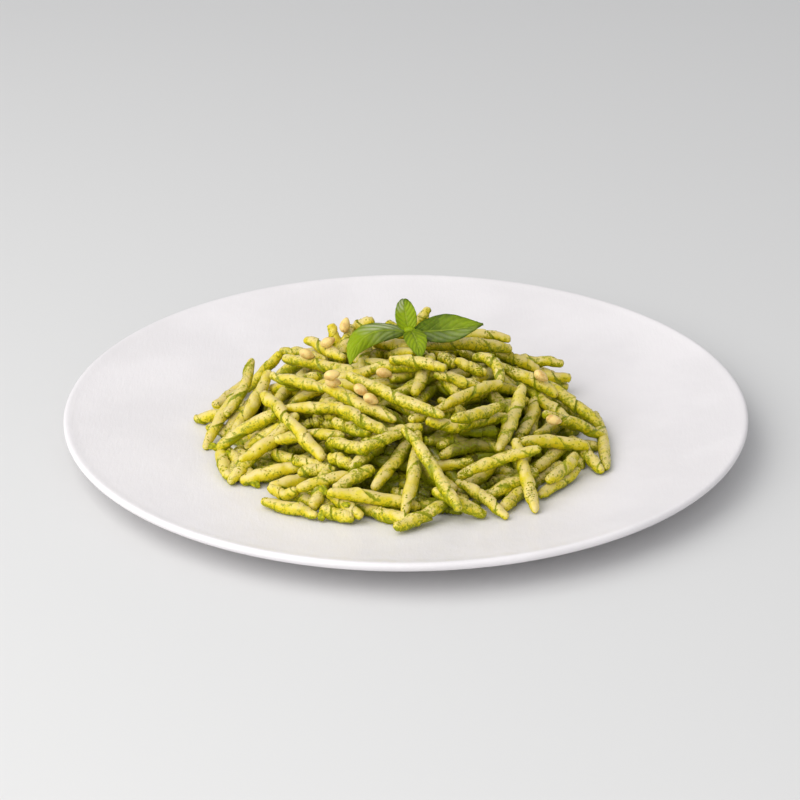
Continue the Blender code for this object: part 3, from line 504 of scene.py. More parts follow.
@functools.lru_cache(maxsize=None)
def smooth_top():
    """The pile's map blurred over a few strands' widths."""
    blurred = laid_heap()[0].top.copy()
    kernel = np.ones(9) / 9
    for _ in range(2):
        for axis in (0, 1):
            blurred = np.apply_along_axis(np.convolve, axis, blurred, kernel, "same")
    return blurred


def depth_under(points):
    """How far points lie below the heap's blurred surface."""
    return smooth_top()[map_cell(points)] - points[..., 2]


def stuffing():
    """Strands that lie close under the covering ones, so that a gap shows another strand. They are let
    up against the pile seen upside down."""
    rng = np.random.default_rng(SEED + 3)
    over = np.array((1.0, 1.0, -1.0))
    roof, stuffed = Pile(), []
    roof.top = OPEN_SINK + SINK_SLANT * np.clip((roof.x + 20 * MM) / (60 * MM), 0, 1) - smooth_top()
    for axis, girth in laid_heap()[2]:
        roof.lay(axis * over, girth, 0)
    for _ in range(STUFFING):
        best, best_bare = None, LEAST_BARE
        for _ in range(STUFFING_SPOTS):
            centre, ahead, _ = any_spot(rng, STUFFING_REACH)
            half = STRAND_LENGTH / 2 * rng.uniform(SHORTEST, 1.0)
            start, end = centre - half * ahead, centre + half * ahead
            plan = plan_path(start, end, rng.uniform(-HIDDEN_BOW, HIDDEN_BOW) * MM)
            cell = map_cell(plan)
            bare = (roof.owner[cell] < 0).mean() * 2 * half
            if bare <= best_bare:
                continue
            girth = any_girth(rng, *HIDDEN_GIRTHS)
            hang = np.maximum(-roof.rest(plan, girth), plate_top(np.hypot(*plan.T)) + girth)
            poke = hang + girth + roof.top[cell]
            if np.quantile(poke, 0.8) < 4 * MM and poke.max() < MOST_POKE:
                best, best_bare = (np.column_stack((plan, hang)), girth), bare
        if best:
            roof.lay(best[0] * over, best[1], 1)
            stuffed.append(best)
    return stuffed


# ---------------------------------------------------------------- settings

def length(name, text, default):
    return bpy.props.FloatProperty(name=name, description=text, default=default, unit="LENGTH", precision=5)


def share(name, text, default):
    return bpy.props.FloatProperty(name=name, description=text, default=default, min=0.0, max=4.0,
                                   subtype="FACTOR")


def colour(name, text, default):
    return bpy.props.FloatVectorProperty(name=name, description=text, default=default, size=3, min=0.0,
                                         max=1.0, subtype="COLOR")


def number(name, text, default):
    return bpy.props.IntProperty(name=name, description=text, default=default, min=1)


def power(name, text, default):
    return bpy.props.FloatProperty(name=name, description=text, default=default, subtype="POWER")


def group_of(kind, name, text):
    return bpy.props.PointerProperty(type=kind, name=name, description=text)


class PlateLook(bpy.types.PropertyGroup):
    """The plate's glaze and grain."""
    steps: number("Steps", "Facets round the plate", 192)
    glaze: colour("Glaze", "Colour of the white glaze", (0.875, 0.845, 0.862))
    grain: length("Grain", "Depth of the fine cast grain", 0.00009)


class TrofieLook(bpy.types.PropertyGroup):
    """The strands' rolled shape and dough."""
    sides: number("Sides", "Facets round a strand", 20)
    rings: number("Rings", "Facets along a strand", 48)
    turns: share("Turns", "How often the fold winds round a strand", 2.4)
    fold: share("Fold", "Step at the edge of the fold, as a share of the radius", 0.19)
    taper: share("Taper", "How much thinner a strand is at its tips, as a share of the radius", 0.44)
    slim: share("Slim", "Radius of the rolled dough, as a share of the room that a strand takes", 1.02)
    dough: colour("Dough", "Pale cooked dough", (0.86, 0.73, 0.145))
    # Painted highlight: paler dough on the upper side of each strand, where the light falls
    painted_highlight: colour("Cream dough", "Dough that shows pale on top of a strand", (0.755, 0.615, 0.225))
    # Deep dough: laid in random patches, and as painted shade on the undersides of the strands
    deep: colour("Deep dough", "Yellower dough in its thick places", (0.70, 0.575, 0.010))


class PestoLook(bpy.types.PropertyGroup):
    """The sauce that coats the strands."""
    film: colour("Film", "Thin pesto on the dough", (0.60, 0.545, 0.003))
    fine: colour("Fine herb", "Finely chopped basil in the sauce", (0.275, 0.30, 0.002))
    herb: colour("Herb", "Larger bits of basil", (0.165, 0.20, 0.002))
    # Painted shade: the colour that strands deep in the heap and the sheet inside it take, where shade falls
    painted_shade: colour("Dark", "Pesto deep in the heap", (0.118, 0.107, 0.002))
    flecks: number("Flecks", "Chopped bits lying on the strands", 4200)
    dabs: number("Dabs", "Thicker dabs of sauce", 46)


class BasilLook(bpy.types.PropertyGroup):
    """The leaves of the sprig."""
    blade: colour("Blade", "Green of the upper side", (0.058, 0.096, 0.002))
    # Lighter green: partly the leaf's own tone, partly painted light, such as the glow of light through the
    # back leaf
    young_and_lit_green: colour("Young", "Lighter green near the base and between the veins", (0.32, 0.43, 0.008))
    # Painted sheen: grey green laid on a leaf's side where its gloss would reflect the light
    sheen: colour("Sheen", "Grey green of a side that turns away from the light", (0.44, 0.48, 0.27))
    vein: colour("Vein", "Pale green of the veins", (0.44, 0.53, 0.06))
    thickness: length("Thickness", "Thickness of a blade", 0.0004)


class NutLook(bpy.types.PropertyGroup):
    """The pine nuts."""
    kernel: colour("Kernel", "Cream of the kernel", (0.90, 0.67, 0.24))
    toast: colour("Toast", "Toasted places", (0.56, 0.30, 0.06))


class StageLook(bpy.types.PropertyGroup):
    """Floor and lights."""
    floor: colour("Floor", "Pale floor", (0.72, 0.72, 0.72))
    sky: share("Sky", "Strength of the even light from all round", 0.535)
    key: power("Key", "Power of the large light from the left", 16.4)
    fill: power("Fill", "Power of the large light from the front", 10.4)


class PastaPlateLook(bpy.types.PropertyGroup):
    """Everything that can be changed on the dish."""
    plate: group_of(PlateLook, "Plate", "The plate")
    trofie: group_of(TrofieLook, "Trofie", "The strands")
    pesto: group_of(PestoLook, "Pesto", "The sauce")
    basil: group_of(BasilLook, "Basil", "The sprig")
    nuts: group_of(NutLook, "Pine nuts", "The pine nuts")
    stage: group_of(StageLook, "Stage", "Floor and lights")


# ---------------------------------------------------------------- meshes

def finish_mesh(name, bm):
    """A mesh made from what was built in bm."""
    mesh = bpy.data.meshes.new(name)
    bm.to_mesh(mesh)
    bm.free()
    return mesh


def read(rows, key, width=3):
    """The values of a mesh layer, width of them to a row."""
    values = np.empty(len(rows) * width, np.float32)
    rows.foreach_get(key, values)
    return values.reshape(-1, width)


def many(name, count, create):
    """A mesh of equal unit shapes, one after another, and its points as (shape, point, xyz)."""
    one, bm = bmesh.new(), bmesh.new()
    create(one)
    unit = finish_mesh(name + " unit", one)
    for _ in range(count):
        bm.from_mesh(unit)
    bpy.data.meshes.remove(unit)
    mesh = finish_mesh(name, bm)
    return mesh, read(mesh.vertices, "co").reshape(count, -1, 3).astype(float)


def reshape_mesh(mesh, points, **attributes):
    """Move a mesh's points, and store a number for each under the given names."""
    mesh.vertices.foreach_set("co", np.ascontiguousarray(points, np.float32).ravel())
    for name, values in attributes.items():
        layer = mesh.attributes.new(name, "FLOAT", "POINT")
        layer.data.foreach_set("value", np.ascontiguousarray(values, np.float32).ravel())
    mesh.update()


def show(name, data):
    """An object for a mesh, a light or a camera, in the scene."""
    made = bpy.data.objects.new(name, data)
    bpy.context.scene.collection.objects.link(made)
    return made


def place(name, mesh, material, slot, nodes=()):
    """Show a finished mesh as a piece of the dish."""
    mesh.materials.append(material)
    mesh.shade_smooth()
    piece = show(name, mesh)
    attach(piece, "root")
    if nodes:
        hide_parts(*nodes)
    return piece


def ball(u, v):
    return lambda bm: bmesh.ops.create_uvsphere(bm, u_segments=u, v_segments=v, radius=1.0)


def crumb(bm):
    bmesh.ops.create_icosphere(bm, subdivisions=1, radius=1.0)


def sheet(u, v, size=1.0):
    return lambda bm: bmesh.ops.create_grid(bm, x_segments=u, y_segments=v, size=size)


# ---------------------------------------------------------------- shader nodes

def feed(tree, sockets, values):
    """Link the values that are sockets, and set the others."""
    for key, value in values.items():
        if isinstance(value, bpy.types.NodeSocket):
            tree.links.new(value, sockets[key])
        else:
            sockets[key].default_value = value


def add(tree, kind, inputs=None, **settings):
    """A new shader node with the given inputs and settings."""
    made = tree.nodes.new(kind)
    for key, value in settings.items():
        setattr(made, key, value)
    feed(tree, made.inputs, inputs or {})
    return made


def math_node(tree, operation, *values, clamp=False):
    made = add(tree, "ShaderNodeMath", dict(enumerate(values)), operation=operation, use_clamp=clamp)
    return made.outputs[0]


def total(tree, *terms):
    """Sum of values, each times its weight."""
    terms = [value if weight == 1 else math_node(tree, "MULTIPLY", value, weight) for value, weight in terms]
    return functools.reduce(functools.partial(math_node, tree, "ADD"), terms)


def ramp(tree, value, low, high, out_low=0.0, out_high=1.0):
    """Smoothly map a value from low..high to out_low..out_high."""
    limits = {"Value": value, "From Min": low, "From Max": high, "To Min": out_low, "To Max": out_high}
    return add(tree, "ShaderNodeMapRange", limits, interpolation_type="SMOOTHSTEP").outputs["Result"]


def mixed(tree, factor, *colours):
    """Two colours, the second mixed over the first."""
    first, second = (value if isinstance(value, bpy.types.NodeSocket) else (*value, 1.0) for value in colours)
    return add(tree, "ShaderNodeMix", {0: factor, 6: first, 7: second}, data_type="RGBA").outputs[2]


def layered(tree, base, *layers):
    """A colour with others mixed over it in turn: each has a mask, its strength and its colour."""
    for mask, strength, over in layers:
        base = mixed(tree, total(tree, (mask, strength)), base, over)
    return base


def noise(tree, vector, scale, detail=3.0, roughness=0.55, output="Fac"):
    return add(tree, "ShaderNodeTexNoise", {"Vector": vector, "Scale": scale, "Detail": detail,
                                            "Roughness": roughness}).outputs[output]


def own_space(tree, stretch=(1.0, 1.0, 1.0)):
    """Object coordinates, stretched."""
    where = add(tree, "ShaderNodeTexCoord").outputs["Object"]
    return add(tree, "ShaderNodeMapping", {"Vector": where, "Scale": stretch}).outputs["Vector"]


def attribute(tree, name):
    return add(tree, "ShaderNodeAttribute", attribute_name=name).outputs["Fac"]


def new_group(name, inputs, outputs):
    """A shader node group with float inputs (name: default) and outputs, and the sockets at both ends."""
    group = bpy.data.node_groups.new(name, "ShaderNodeTree")
    for label, default in inputs.items():
        socket = group.interface.new_socket(label, in_out="INPUT", socket_type="NodeSocketFloat")
        socket.default_value = default
    for label in outputs:
        group.interface.new_socket(label, in_out="OUTPUT", socket_type="NodeSocketFloat")
    return group, add(group, "NodeGroupInput").outputs, add(group, "NodeGroupOutput").inputs


def use_group(tree, name, **inputs):
    inputs = {key.replace("_", " ").capitalize(): value for key, value in inputs.items()}
    return add(tree, "ShaderNodeGroup", inputs, node_tree=bpy.data.node_groups[name]).outputs


def mottle(tree, scale, grain_scale):
    return use_group(tree, "Mottle", scale=scale, grain_scale=grain_scale)


def build_pesto_group():
    """Where pesto clings: a film in patches and in the folds, thicker deeper in the heap and on downward
    faces, partly as painted shade, and chopped flecks in two sizes.
    """
    group, given, result = new_group("Pesto cling", {"Cover": 0.5, "Fold": 0.0, "Depth": 0.0, "Rise": 0.0},
                                     ("Film", "Fleck", "Chopped", "Relief"))
    here = own_space(group)
    # Deeper points and downward faces get more film: partly sauce that settles low, partly painted shade
    cling = total(group, (noise(group, here, 170.0, 4.0, 0.6), 0.50),
                  (noise(group, here, 640.0, 3.0, 0.62), 0.66), (given["Fold"], 0.36),
                  (given["Depth"], 0.10), (given["Cover"], 0.30), (given["Rise"], -0.13))
    film = ramp(group, cling, 0.56, 0.84)
    fleck = ramp(group, total(group, (noise(group, here, 1000.0, 3.0, 0.6), 1), (cling, 0.95)), 1.10, 1.28)
    wobble = add(group, "ShaderNodeVectorMath", {0: noise(group, here, 900.0, 2.0, output="Color"),
                                                 1: (0.5, 0.5, 0.5)}, operation="SUBTRACT").outputs[0]
    torn = add(group, "ShaderNodeVectorMath", {0: wobble, 1: (0.0011, 0.0011, 0.0011), 2: here},
               operation="MULTIPLY_ADD").outputs[0]
    cells = add(group, "ShaderNodeTexVoronoi", {"Vector": torn, "Scale": 620.0}).outputs
    lot = add(group, "ShaderNodeSeparateColor", {"Color": cells["Color"]}).outputs[0]
    reach = math_node(group, "MULTIPLY", ramp(group, cling, 0.58, 0.93, 0.05, 0.66),
                      ramp(group, lot, 0.35, 0.9))
    chopped = ramp(group, math_node(group, "SUBTRACT", reach, cells["Distance"]), -0.06, 0.22)
    relief = total(group, (film, 0.3), (math_node(group, "MAXIMUM", chopped, fleck), 0.35),
                   (noise(group, here, 750.0, 3.0), 0.9))
    feed(group, result, {"Film": film, "Fleck": fleck, "Chopped": chopped, "Relief": relief})


def build_mottle_group():
    """Soft uneven blotches at a chosen scale, with a finer grain on them."""
    group, given, result = new_group("Mottle", {"Scale": 100.0, "Grain scale": 900.0}, ("Blotch", "Grain"))
    here = own_space(group)
    feed(group, result, {"Blotch": noise(group, here, given["Scale"], 3.0, 0.5),
                         "Grain": noise(group, here, given["Grain scale"], 2.0, 0.5)})


def new_material(name, roughness, **values):
    """A material, its tree and its Principled shader's sockets, with the given plain values set."""
    material = bpy.data.materials.new(name)
    material.use_nodes = True
    surface = material.node_tree.nodes["Principled BSDF"].inputs
    feed(material.node_tree, surface, {"Roughness": roughness,
                                       **{key.replace("_", " "): value for key, value in values.items()}})
    return material, material.node_tree, surface


def bump(tree, surface, height, distance):
    made = add(tree, "ShaderNodeBump", {"Height": height, "Distance": distance})
    feed(tree, surface, {"Normal": made.outputs["Normal"]})


# ---------------------------------------------------------------- plate

def fine_profile():
    """Radius and height down the plate's section, with its lip and foot rounded."""
    top = [(radius * MM, float(plate_top(radius * MM))) for radius in np.linspace(0, 151, 46)]
    lip = [(152.6, 16.72), (153.8, 16.82), (154.6, 16.5), (155.0, 15.8), (155.0, 15.0), (154.6, 14.0),
           (153.6, 13.0)]
    under = [(150, 12.0), (139, 9.8), (128, 7.9), (118, 6.3), (106, 4.8), (95, 3.7)]
    foot = [(93.4, 2.6), (92.6, 0.5), (91.9, 0.05), (90, 0.0), (88.1, 0.05), (87.5, 0.5), (86.6, 2.2),
            (85.5, 2.8), (60, 2.8), (0, 2.8)]
    return top + [(radius * MM, height * MM) for radius, height in lip + under + foot]


def glaze_material(look):
    material, tree, surface = new_material("White glaze", 0.42)
    grain, cloud = mottle(tree, 260.0, 1400.0), mottle(tree, 22.0, 120.0)
    streaks = noise(tree, own_space(tree, (1.0, 0.22, 1.0)), 620.0)
    shade = [0.94 * value for value in look.glaze]
    feed(tree, surface, {"Base Color": mixed(tree, ramp(tree, cloud["Blotch"], 0.35, 0.7), look.glaze, shade),
                         "Roughness": ramp(tree, grain["Blotch"], 0.3, 0.75, 0.30, 0.48)})
    height = total(tree, (streaks, 0.6), (grain["Blotch"], 0.5), (grain["Grain"], 0.2))
    bump(tree, surface, height, 2.2 * look.grain)
    return material


def turn_plate(look):
    bm = bmesh.new()
    section = [bm.verts.new((radius, 0.0, height)) for radius, height in fine_profile()]
    edges = [bm.edges.new(pair) for pair in zip(section, section[1:])]
    bmesh.ops.spin(bm, geom=section + edges, cent=(0, 0, 0), axis=(0, 0, 1), angle=2 * math.pi,
                   steps=look.steps, use_merge=True)
    bmesh.ops.remove_doubles(bm, verts=bm.verts, dist=1e-5)
    bmesh.ops.recalc_face_normals(bm, faces=bm.faces)
    place("coupe_plate", finish_mesh("coupe_plate", bm), glaze_material(look), "plate", ["plate"])


# ---------------------------------------------------------------- trofie

def strand_axis(axis, place):
    """Centre, direction and the two directions square to it at places from -1 to 1."""
    stations = np.linspace(-1, 1, len(axis))
    lines = [np.polynomial.Polynomial.fit(stations, axis[:, k], 6) for k in range(3)]
    centre = np.column_stack([line(place) for line in lines])
    ahead = np.column_stack([line.deriv()(place) for line in lines])
    ahead /= np.linalg.norm(ahead, axis=1, keepdims=True)
    side = np.cross(ahead, (0.0, 0.0, 1.0))
    side /= np.linalg.norm(side, axis=1, keepdims=True)
    return centre, side, np.cross(ahead, side)


def lumps(rng, place, count, depth):
    """A gentle random swelling along a strand."""
    waves = [np.sin(place * rng.uniform(2, 9) + rng.uniform(0, 7)) for _ in range(count)]
    return depth * sum(waves) / math.sqrt(count)


def bend_strands(mesh, units, strands, look, seed):
    """Shape one unit ball into each strand: rolled thin, wound with a fold and laid along its axis."""
    rng = np.random.default_rng(seed)
    unit = units[0]
    steps = 1 - 2 * np.arccos(unit[:, 2].clip(-1, 1)) / math.pi
    place = np.sin(steps * math.pi / 2)
    turn = np.arctan2(unit[:, 1], unit[:, 0])
    turn = turn - 0.55 * np.sin(turn)              # closer together at the fold's edge
    round_ = np.hypot(unit[:, 0], unit[:, 1]) > 1e-4
    past = (turn % (2 * math.pi)) / (2 * math.pi)  # 0 just past the fold's edge, 1 just before it
    edge = np.maximum(np.exp(-((1 - past) / 0.085) ** 2), np.exp(-(past / 0.025) ** 2))
    points, folds, lots, rises = [], [], [], []
    for axis, girth in strands:
        centre, side, below = strand_axis(axis, place)
        slender = np.where(place > 0, *rng.uniform(0.7, 1.2, 2))
        blunt = rng.uniform(0.06, 0.10)            # share of the half length that its round tips take
        tip = np.sqrt(1 - np.clip((np.abs(place) - 1 + blunt) / blunt, 0, 1) ** 2)
        body = look.slim * girth.max() * (1 - look.taper * slender * np.abs(place) ** 2.9)
        strength = np.clip(0.75 + lumps(rng, place, 3, 0.5), 0.15, 1.3) * (1 - np.abs(place) ** 6)
        notch = 0.10 * strength * np.exp(-((1 - past) / 0.07) ** 2)
        flat = 0.04 * np.cos(2 * turn + rng.uniform(0, 6)) + lumps(rng, place, 3, 0.045)
        flat = flat + 0.022 * np.sin(place * rng.uniform(14, 24) + 2 * turn) * np.cos(3 * turn + 7 * place)
        radius = body * np.where(round_, tip, 0.0) * (1 + look.fold * strength * (0.5 - past) - notch + flat)
        wind = rng.choice((-1, 1)) if rng.uniform() < 0.25 else 1
        where = turn + (wind * math.pi * look.turns * rng.uniform(0.6, 1.3) * place
                        + lumps(rng, place, 2, 0.5) + rng.uniform(0, 7))
        spans = [radius * wave(where) + lumps(rng, place, 2, 0.25 * MM) for wave in (np.cos, np.sin)]
        points.append(centre + spans[0][:, None] * side + spans[1][:, None] * below)
        # How far up each point faces: the mask for the painted highlight on top and the painted shade
        # underneath
        rises.append((np.cos(where) * side[:, 2] + np.sin(where) * below[:, 2]) * np.where(round_, 1.0, 0.3))
        folds.append(strength * edge * np.clip(0.85 + lumps(rng, place, 3, 0.45), 0.1, 1.2))
        aside = np.clip(0.5 + axis[:, 0].mean() / (150 * MM), 0, 1)    # strands further right get more sauce, so the right flank is darker
        lots.append(np.full(len(place), 0.70 * rng.uniform() + 0.30 * aside))
    points = np.array(points)
    painted_gap_shade = 1 + 0.45 * np.clip(points[..., 0] / (60 * MM), -0.4, 1)    # painted shade in the gaps is stronger on the right and in front
    painted_gap_shade = painted_gap_shade + 0.3 * np.clip(-points[..., 1] / (40 * MM) - 1, 0, 1)
    # How deep each point lies, scaled up on the right and in front: the mask for the painted shade
    depth = np.clip(painted_gap_shade * depth_under(points) / DARK_DEPTH, -0.2, 1.2)
    reshape_mesh(mesh, points, fold=folds, lot=lots, depth=depth, rise=rises)


def dough_material(name, look, pesto, cover, wet):
    """Cooked dough with pesto in its folds, with a painted highlight on the strands' tops and painted shade
    on their undersides and deep in the heap; cover says how much of it the sauce hides.
    """
    material, tree, surface = new_material(name, 0.4, Subsurface_Weight=0.22, Subsurface_Scale=0.004,
                                           Subsurface_Radius=(1.0, 0.75, 0.22), Specular_IOR_Level=0.15,
                                           Coat_Roughness=0.2)
    lot, fold, depth, rise = (attribute(tree, name_) for name_ in ("lot", "fold", "depth", "rise"))
    cling = use_group(tree, "Pesto cling", cover=total(tree, (lot, 0.5), (cover, 1)), fold=fold, depth=depth,
                      rise=rise)
    # Random blotches, and painted shade: the further down a side faces, the more deep dough it gets
    uneven = total(tree, (mottle(tree, 210.0, 1500.0)["Blotch"], 1), (rise, -0.28))
    # Painted shade: the deeper a strand lies under the heap's surface, the more its sauce and dough turn to
    # the shade colour
    deep = ramp(tree, depth, 0.45, 1.05)
    sauce = mixed(tree, deep, pesto.film, pesto.painted_shade)
    base = layered(tree, look.dough, (ramp(tree, rise, 0.1, 0.85), 1, look.painted_highlight),
                   (ramp(tree, uneven, 0.14, 0.56), 1, look.deep), (cling["Film"], 0.93, sauce),
                   (ramp(tree, cling["Film"], 0.5, 1.0), 0.55, pesto.fine), (deep, 0.7, sauce),
                   (cling["Fleck"], 0.78, pesto.fine), (cling["Chopped"], 0.8, pesto.herb))
    feed(tree, surface, {"Base Color": base, "Coat Weight": ramp(tree, rise, -0.2, 0.7, 0.0, 0.95 * wet),
                         "Roughness": ramp(tree, cling["Film"], 0.0, 1.0, 0.46, 0.34)})
    bump(tree, surface, cling["Relief"], 0.00033)
    return material


def build_core(pesto):
    """A sheet of painted shade inside the heap, in sauce colours, just under the strands."""
    mesh, units = many("heap_inside", 1, ball(96, 40))
    unit = units[0]
    plan = INSIDE_SPREAD * np.array(HEAP_RADII) * unit[:, :2] + (0.0, HEAP_BACK)
    floor = plate_top(np.hypot(*plan.T)) + 0.1 * MM
    skin = np.maximum(smooth_top()[map_cell(plan)] - INSIDE_SINK, floor + 0.5 * MM)
    rim = np.clip((1 - np.hypot(unit[:, 0], unit[:, 1])) / 0.05, 0.0, 1.0)
    height = np.where(unit[:, 2] > 1e-4, floor + (skin - floor) * rim, floor)
    reshape_mesh(mesh, np.column_stack((plan, height)))
    material, tree, surface = new_material("Painted heap shade", 0.45)
    blotch = mottle(tree, 300.0, 1200.0)["Blotch"]
    feed(tree, surface, {"Base Color": mixed(tree, ramp(tree, blotch, 0.4, 0.7), pesto.painted_shade, pesto.film)})
    bump(tree, surface, blotch, 0.002)
    place("heap_inside", mesh, material, "pasta")


def lay_trofie(look, pesto):
    pile, bed, cover = laid_heap()
    strands = bed + cover
    kinds = {"trofie_bed": [], "trofie_light": [], "trofie_sauced": []}
    rng = np.random.default_rng(SEED + 5)
    seen = np.bincount(pile.owner[pile.owner >= 0], minlength=len(strands))
    for index, strand in enumerate(strands):
        if seen[index] < HIDDEN_CELLS:
            kinds["trofie_bed"].append(strand)
        else:
            kinds["trofie_sauced" if rng.uniform() < SAUCED_SHARE else "trofie_light"].append(strand)
    kinds["trofie_bed"] += stuffing()
    for seed, (name, group) in enumerate(kinds.items()):
        cover_, wet, facets = {"trofie_bed": (0.30, 0.2, (12, 20)),
                               "trofie_light": (0.0, 0.5, (look.sides, look.rings)),
                               "trofie_sauced": (0.2, 0.5, (look.sides, look.rings))}[name]
        mesh, units = many(name, len(group), ball(*facets))
        bend_strands(mesh, units, group, look, SEED + 10 + seed)
        material = dough_material(name.replace("_", " ").capitalize(), look, pesto, cover_, wet)
        place(name, mesh, material, "pasta", ["pasta_heap"])
    build_core(pesto)


# ---------------------------------------------------------------- chopped basil and dabs of sauce

def surface_spots(rng, count, weigh):
    """Points on the strands that show, likelier where weigh is larger: place, normal."""
    meshes = [bpy.data.objects[name].data for name in ("trofie_light", "trofie_sauced")]
    points = np.concatenate([read(mesh.vertices, "co") for mesh in meshes])
    normals = np.concatenate([read(mesh.vertex_normals, "vector") for mesh in meshes])
    folds = np.concatenate([read(mesh.attributes["fold"].data, "value", 1) for mesh in meshes])
    weights = weigh(points, normals, folds[:, 0]) * (depth_under(points) < SAUCE_DEPTH)
    chosen = rng.choice(len(points), count, replace=False, p=weights / weights.sum())
    return points[chosen].astype(float), normals[chosen].astype(float)


def tangents(rng, normals):
    """For each normal, two directions square to it, turned at random."""
    any_way = rng.normal(size=normals.shape)
    first = np.cross(normals, any_way)
    first /= np.linalg.norm(first, axis=1, keepdims=True)
    return first, np.cross(normals, first)


def set_on(spots, shapes, *spans):
    """Unit shapes set at spots; each has its three spans, given as directions and their lengths."""
    return spots[:, None] + sum(shapes[..., k:k + 1] * (way * np.reshape(size, (-1, 1)))[:, None]
                                for k, (way, size) in enumerate(spans))


def strew_flecks(pesto):
    """Chopped bits of basil that stick to the strands."""
    rng = np.random.default_rng(SEED + 20)
    clump, drift = rng.normal(size=(3, 4)) * 420, rng.uniform(0, 6, 4)
    spots, normals = surface_spots(rng, pesto.flecks, lambda where, facing, fold:
                                   (0.25 + 1.5 * fold + np.clip(facing[:, 2], 0, 1))
                                   * (1 + 1.2 * np.clip(where[:, 0] / (60 * MM), -0.3, 1))
                                   * np.exp(2.2 * np.sin(where @ clump + drift).sum(axis=1) / 2))
    mesh, units = many("basil_flecks", len(spots), crumb)
    first, second = tangents(rng, normals)
    long_, wide = rng.uniform(0.25, 0.75, len(spots)) * MM, rng.uniform(0.18, 0.42, len(spots)) * MM
    rough = units * rng.uniform(0.72, 1.25, units.shape[:2])[..., None]
    points = set_on(spots + 0.02 * MM * normals, rough, (first, long_), (second, wide), (normals, 0.13 * MM))
    reshape_mesh(mesh, points, lot=np.repeat(rng.uniform(size=len(spots)), units.shape[1]))
    material, tree, surface = new_material("Chopped basil", 0.55, Specular_IOR_Level=0.15)
    pale = [0.7 * value for value in pesto.film]
    feed(tree, surface, {"Base Color": mixed(tree, attribute(tree, "lot"), pesto.fine, pale)})
    place("basil_flecks", mesh, material, "pasta")


def dab_sauce(pesto):
    """Thicker dabs of pesto that sit in the gaps between strands, and a few seen clumps."""
    rng = np.random.default_rng(SEED + 21)
    spots, normals = surface_spots(rng, pesto.dabs, lambda where, facing, fold:
                                   np.clip(depth_under(where) / MM, 0.05, 4) * (facing[:, 2] > 0.1))
    sight = np.array([view_ray(spot)[1] for spot in CLUMPS])
    held = np.array([land(laid_heap()[0], *spot, 0)[0] for spot in CLUMPS]) + sight * NUT_GIRTH
    spots, normals = np.concatenate((spots, held)), np.concatenate((normals, -sight))
    mesh, units = many("pesto_dabs", len(spots), ball(16, 10))
    first, second = tangents(rng, normals)
    size = rng.uniform(0.9, 2.3, len(spots)) * MM
    size[-len(held):] = CLUMP_SIZE
    knobs = sum(0.16 * np.sin(units @ (rng.normal(size=3) * 3.2) + rng.uniform(0, 6)) for _ in range(4))
    reshape_mesh(mesh, set_on(spots, units * (1 + knobs)[..., None], (first, size), (second, 0.7 * size),
                              (normals, 0.38 * size)))
    material, tree, surface = new_material("Thick pesto", 0.45, Specular_IOR_Level=0.2, Coat_Weight=0.05)
    blotch = mottle(tree, 900.0, 2200.0)["Blotch"]
    feed(tree, surface, {"Base Color": mixed(tree, ramp(tree, blotch, 0.34, 0.56), pesto.film, pesto.fine)})
    bump(tree, surface, blotch, 0.0006)
    place("pesto_dabs", mesh, material, "pasta")


# ---------------------------------------------------------------- pine nuts

def land(pile, column, row, lean):
    """Centre and half span of a nut that comes down a line of sight until it touches the pile."""
    right, up = view_axes()
    lean = math.radians(lean)
    ahead = (math.cos(lean) * right + math.sin(lean) * up) * (NUT_LENGTH / 2 - NUT_GIRTH)
    eye, line = view_ray((column, row))
    track = eye + line * (VIEW_DISTANCE + np.linspace(-90, 110, 800)[:, None] * MM)
    spots = (track[:, None] + ahead * np.array(((-1.0,), (0.0,), (1.0,)))).reshape(-1, 3)
    sunk = spots[:, 2] < pile.clearance(spots[:, :2], np.full(len(spots), NUT_GIRTH))
    return track[int(sunk.reshape(-1, 3).any(axis=1).argmax())], ahead


def nut_material(look, pesto):
    material, tree, surface = new_material("Pine nut", 0.38, Subsurface_Weight=0.2, Subsurface_Scale=0.003,
                                           Subsurface_Radius=(1.0, 0.6, 0.3))
    blotch = mottle(tree, 330.0, 1600.0)["Blotch"]
    base = layered(tree, look.kernel, (ramp(tree, blotch, 0.42, 0.68), 0.7, look.toast),
                   (attribute(tree, "tip"), 1, look.toast),
                   (use_group(tree, "Pesto cling", cover=-0.75)["Fleck"], 1, pesto.herb))
    feed(tree, surface, {"Base Color": base})
    bump(tree, surface, blotch, 0.0005)
    return material


def scatter_nuts(look, pesto):
    """The pine nuts, each a pointed kernel lying where it is seen."""
    pile = laid_heap()[0]
    mesh, units = many("pine_nuts", len(SEEN_NUTS), ball(28, 20))
    points, tips = [], []
    for unit, seen in zip(units, SEEN_NUTS):
        centre, ahead = land(pile, *seen)
        pile.lay(np.array((centre - ahead, centre + ahead)), np.full(2, NUT_GIRTH), -2)
        x, y, z = unit[:, 2], unit[:, 0], unit[:, 1]
        slim = 1 - 0.20 * x - 0.10 * x ** 2
        dent = 1 - 0.05 * np.exp(-((y - 0.1) / 0.25) ** 2) * (z > 0)
        width = NUT_GIRTH * slim
        turn = np.array(Vector(ahead).to_track_quat("X", "Z").to_matrix())
        local = np.column_stack((x * NUT_LENGTH / 2, y * width, z * width * 0.93 * dent))
        points.append(centre + local @ turn.T)
        tips.append(np.clip((x - 0.86) * 6, 0, 1))
    reshape_mesh(mesh, np.array(points), tip=tips)
    place("pine_nuts", mesh, nut_material(look, pesto), "pine_nut",
          ["pine_nut_%02d" % number for number in range(1, len(SEEN_NUTS) + 1)])


# ---------------------------------------------------------------- basil

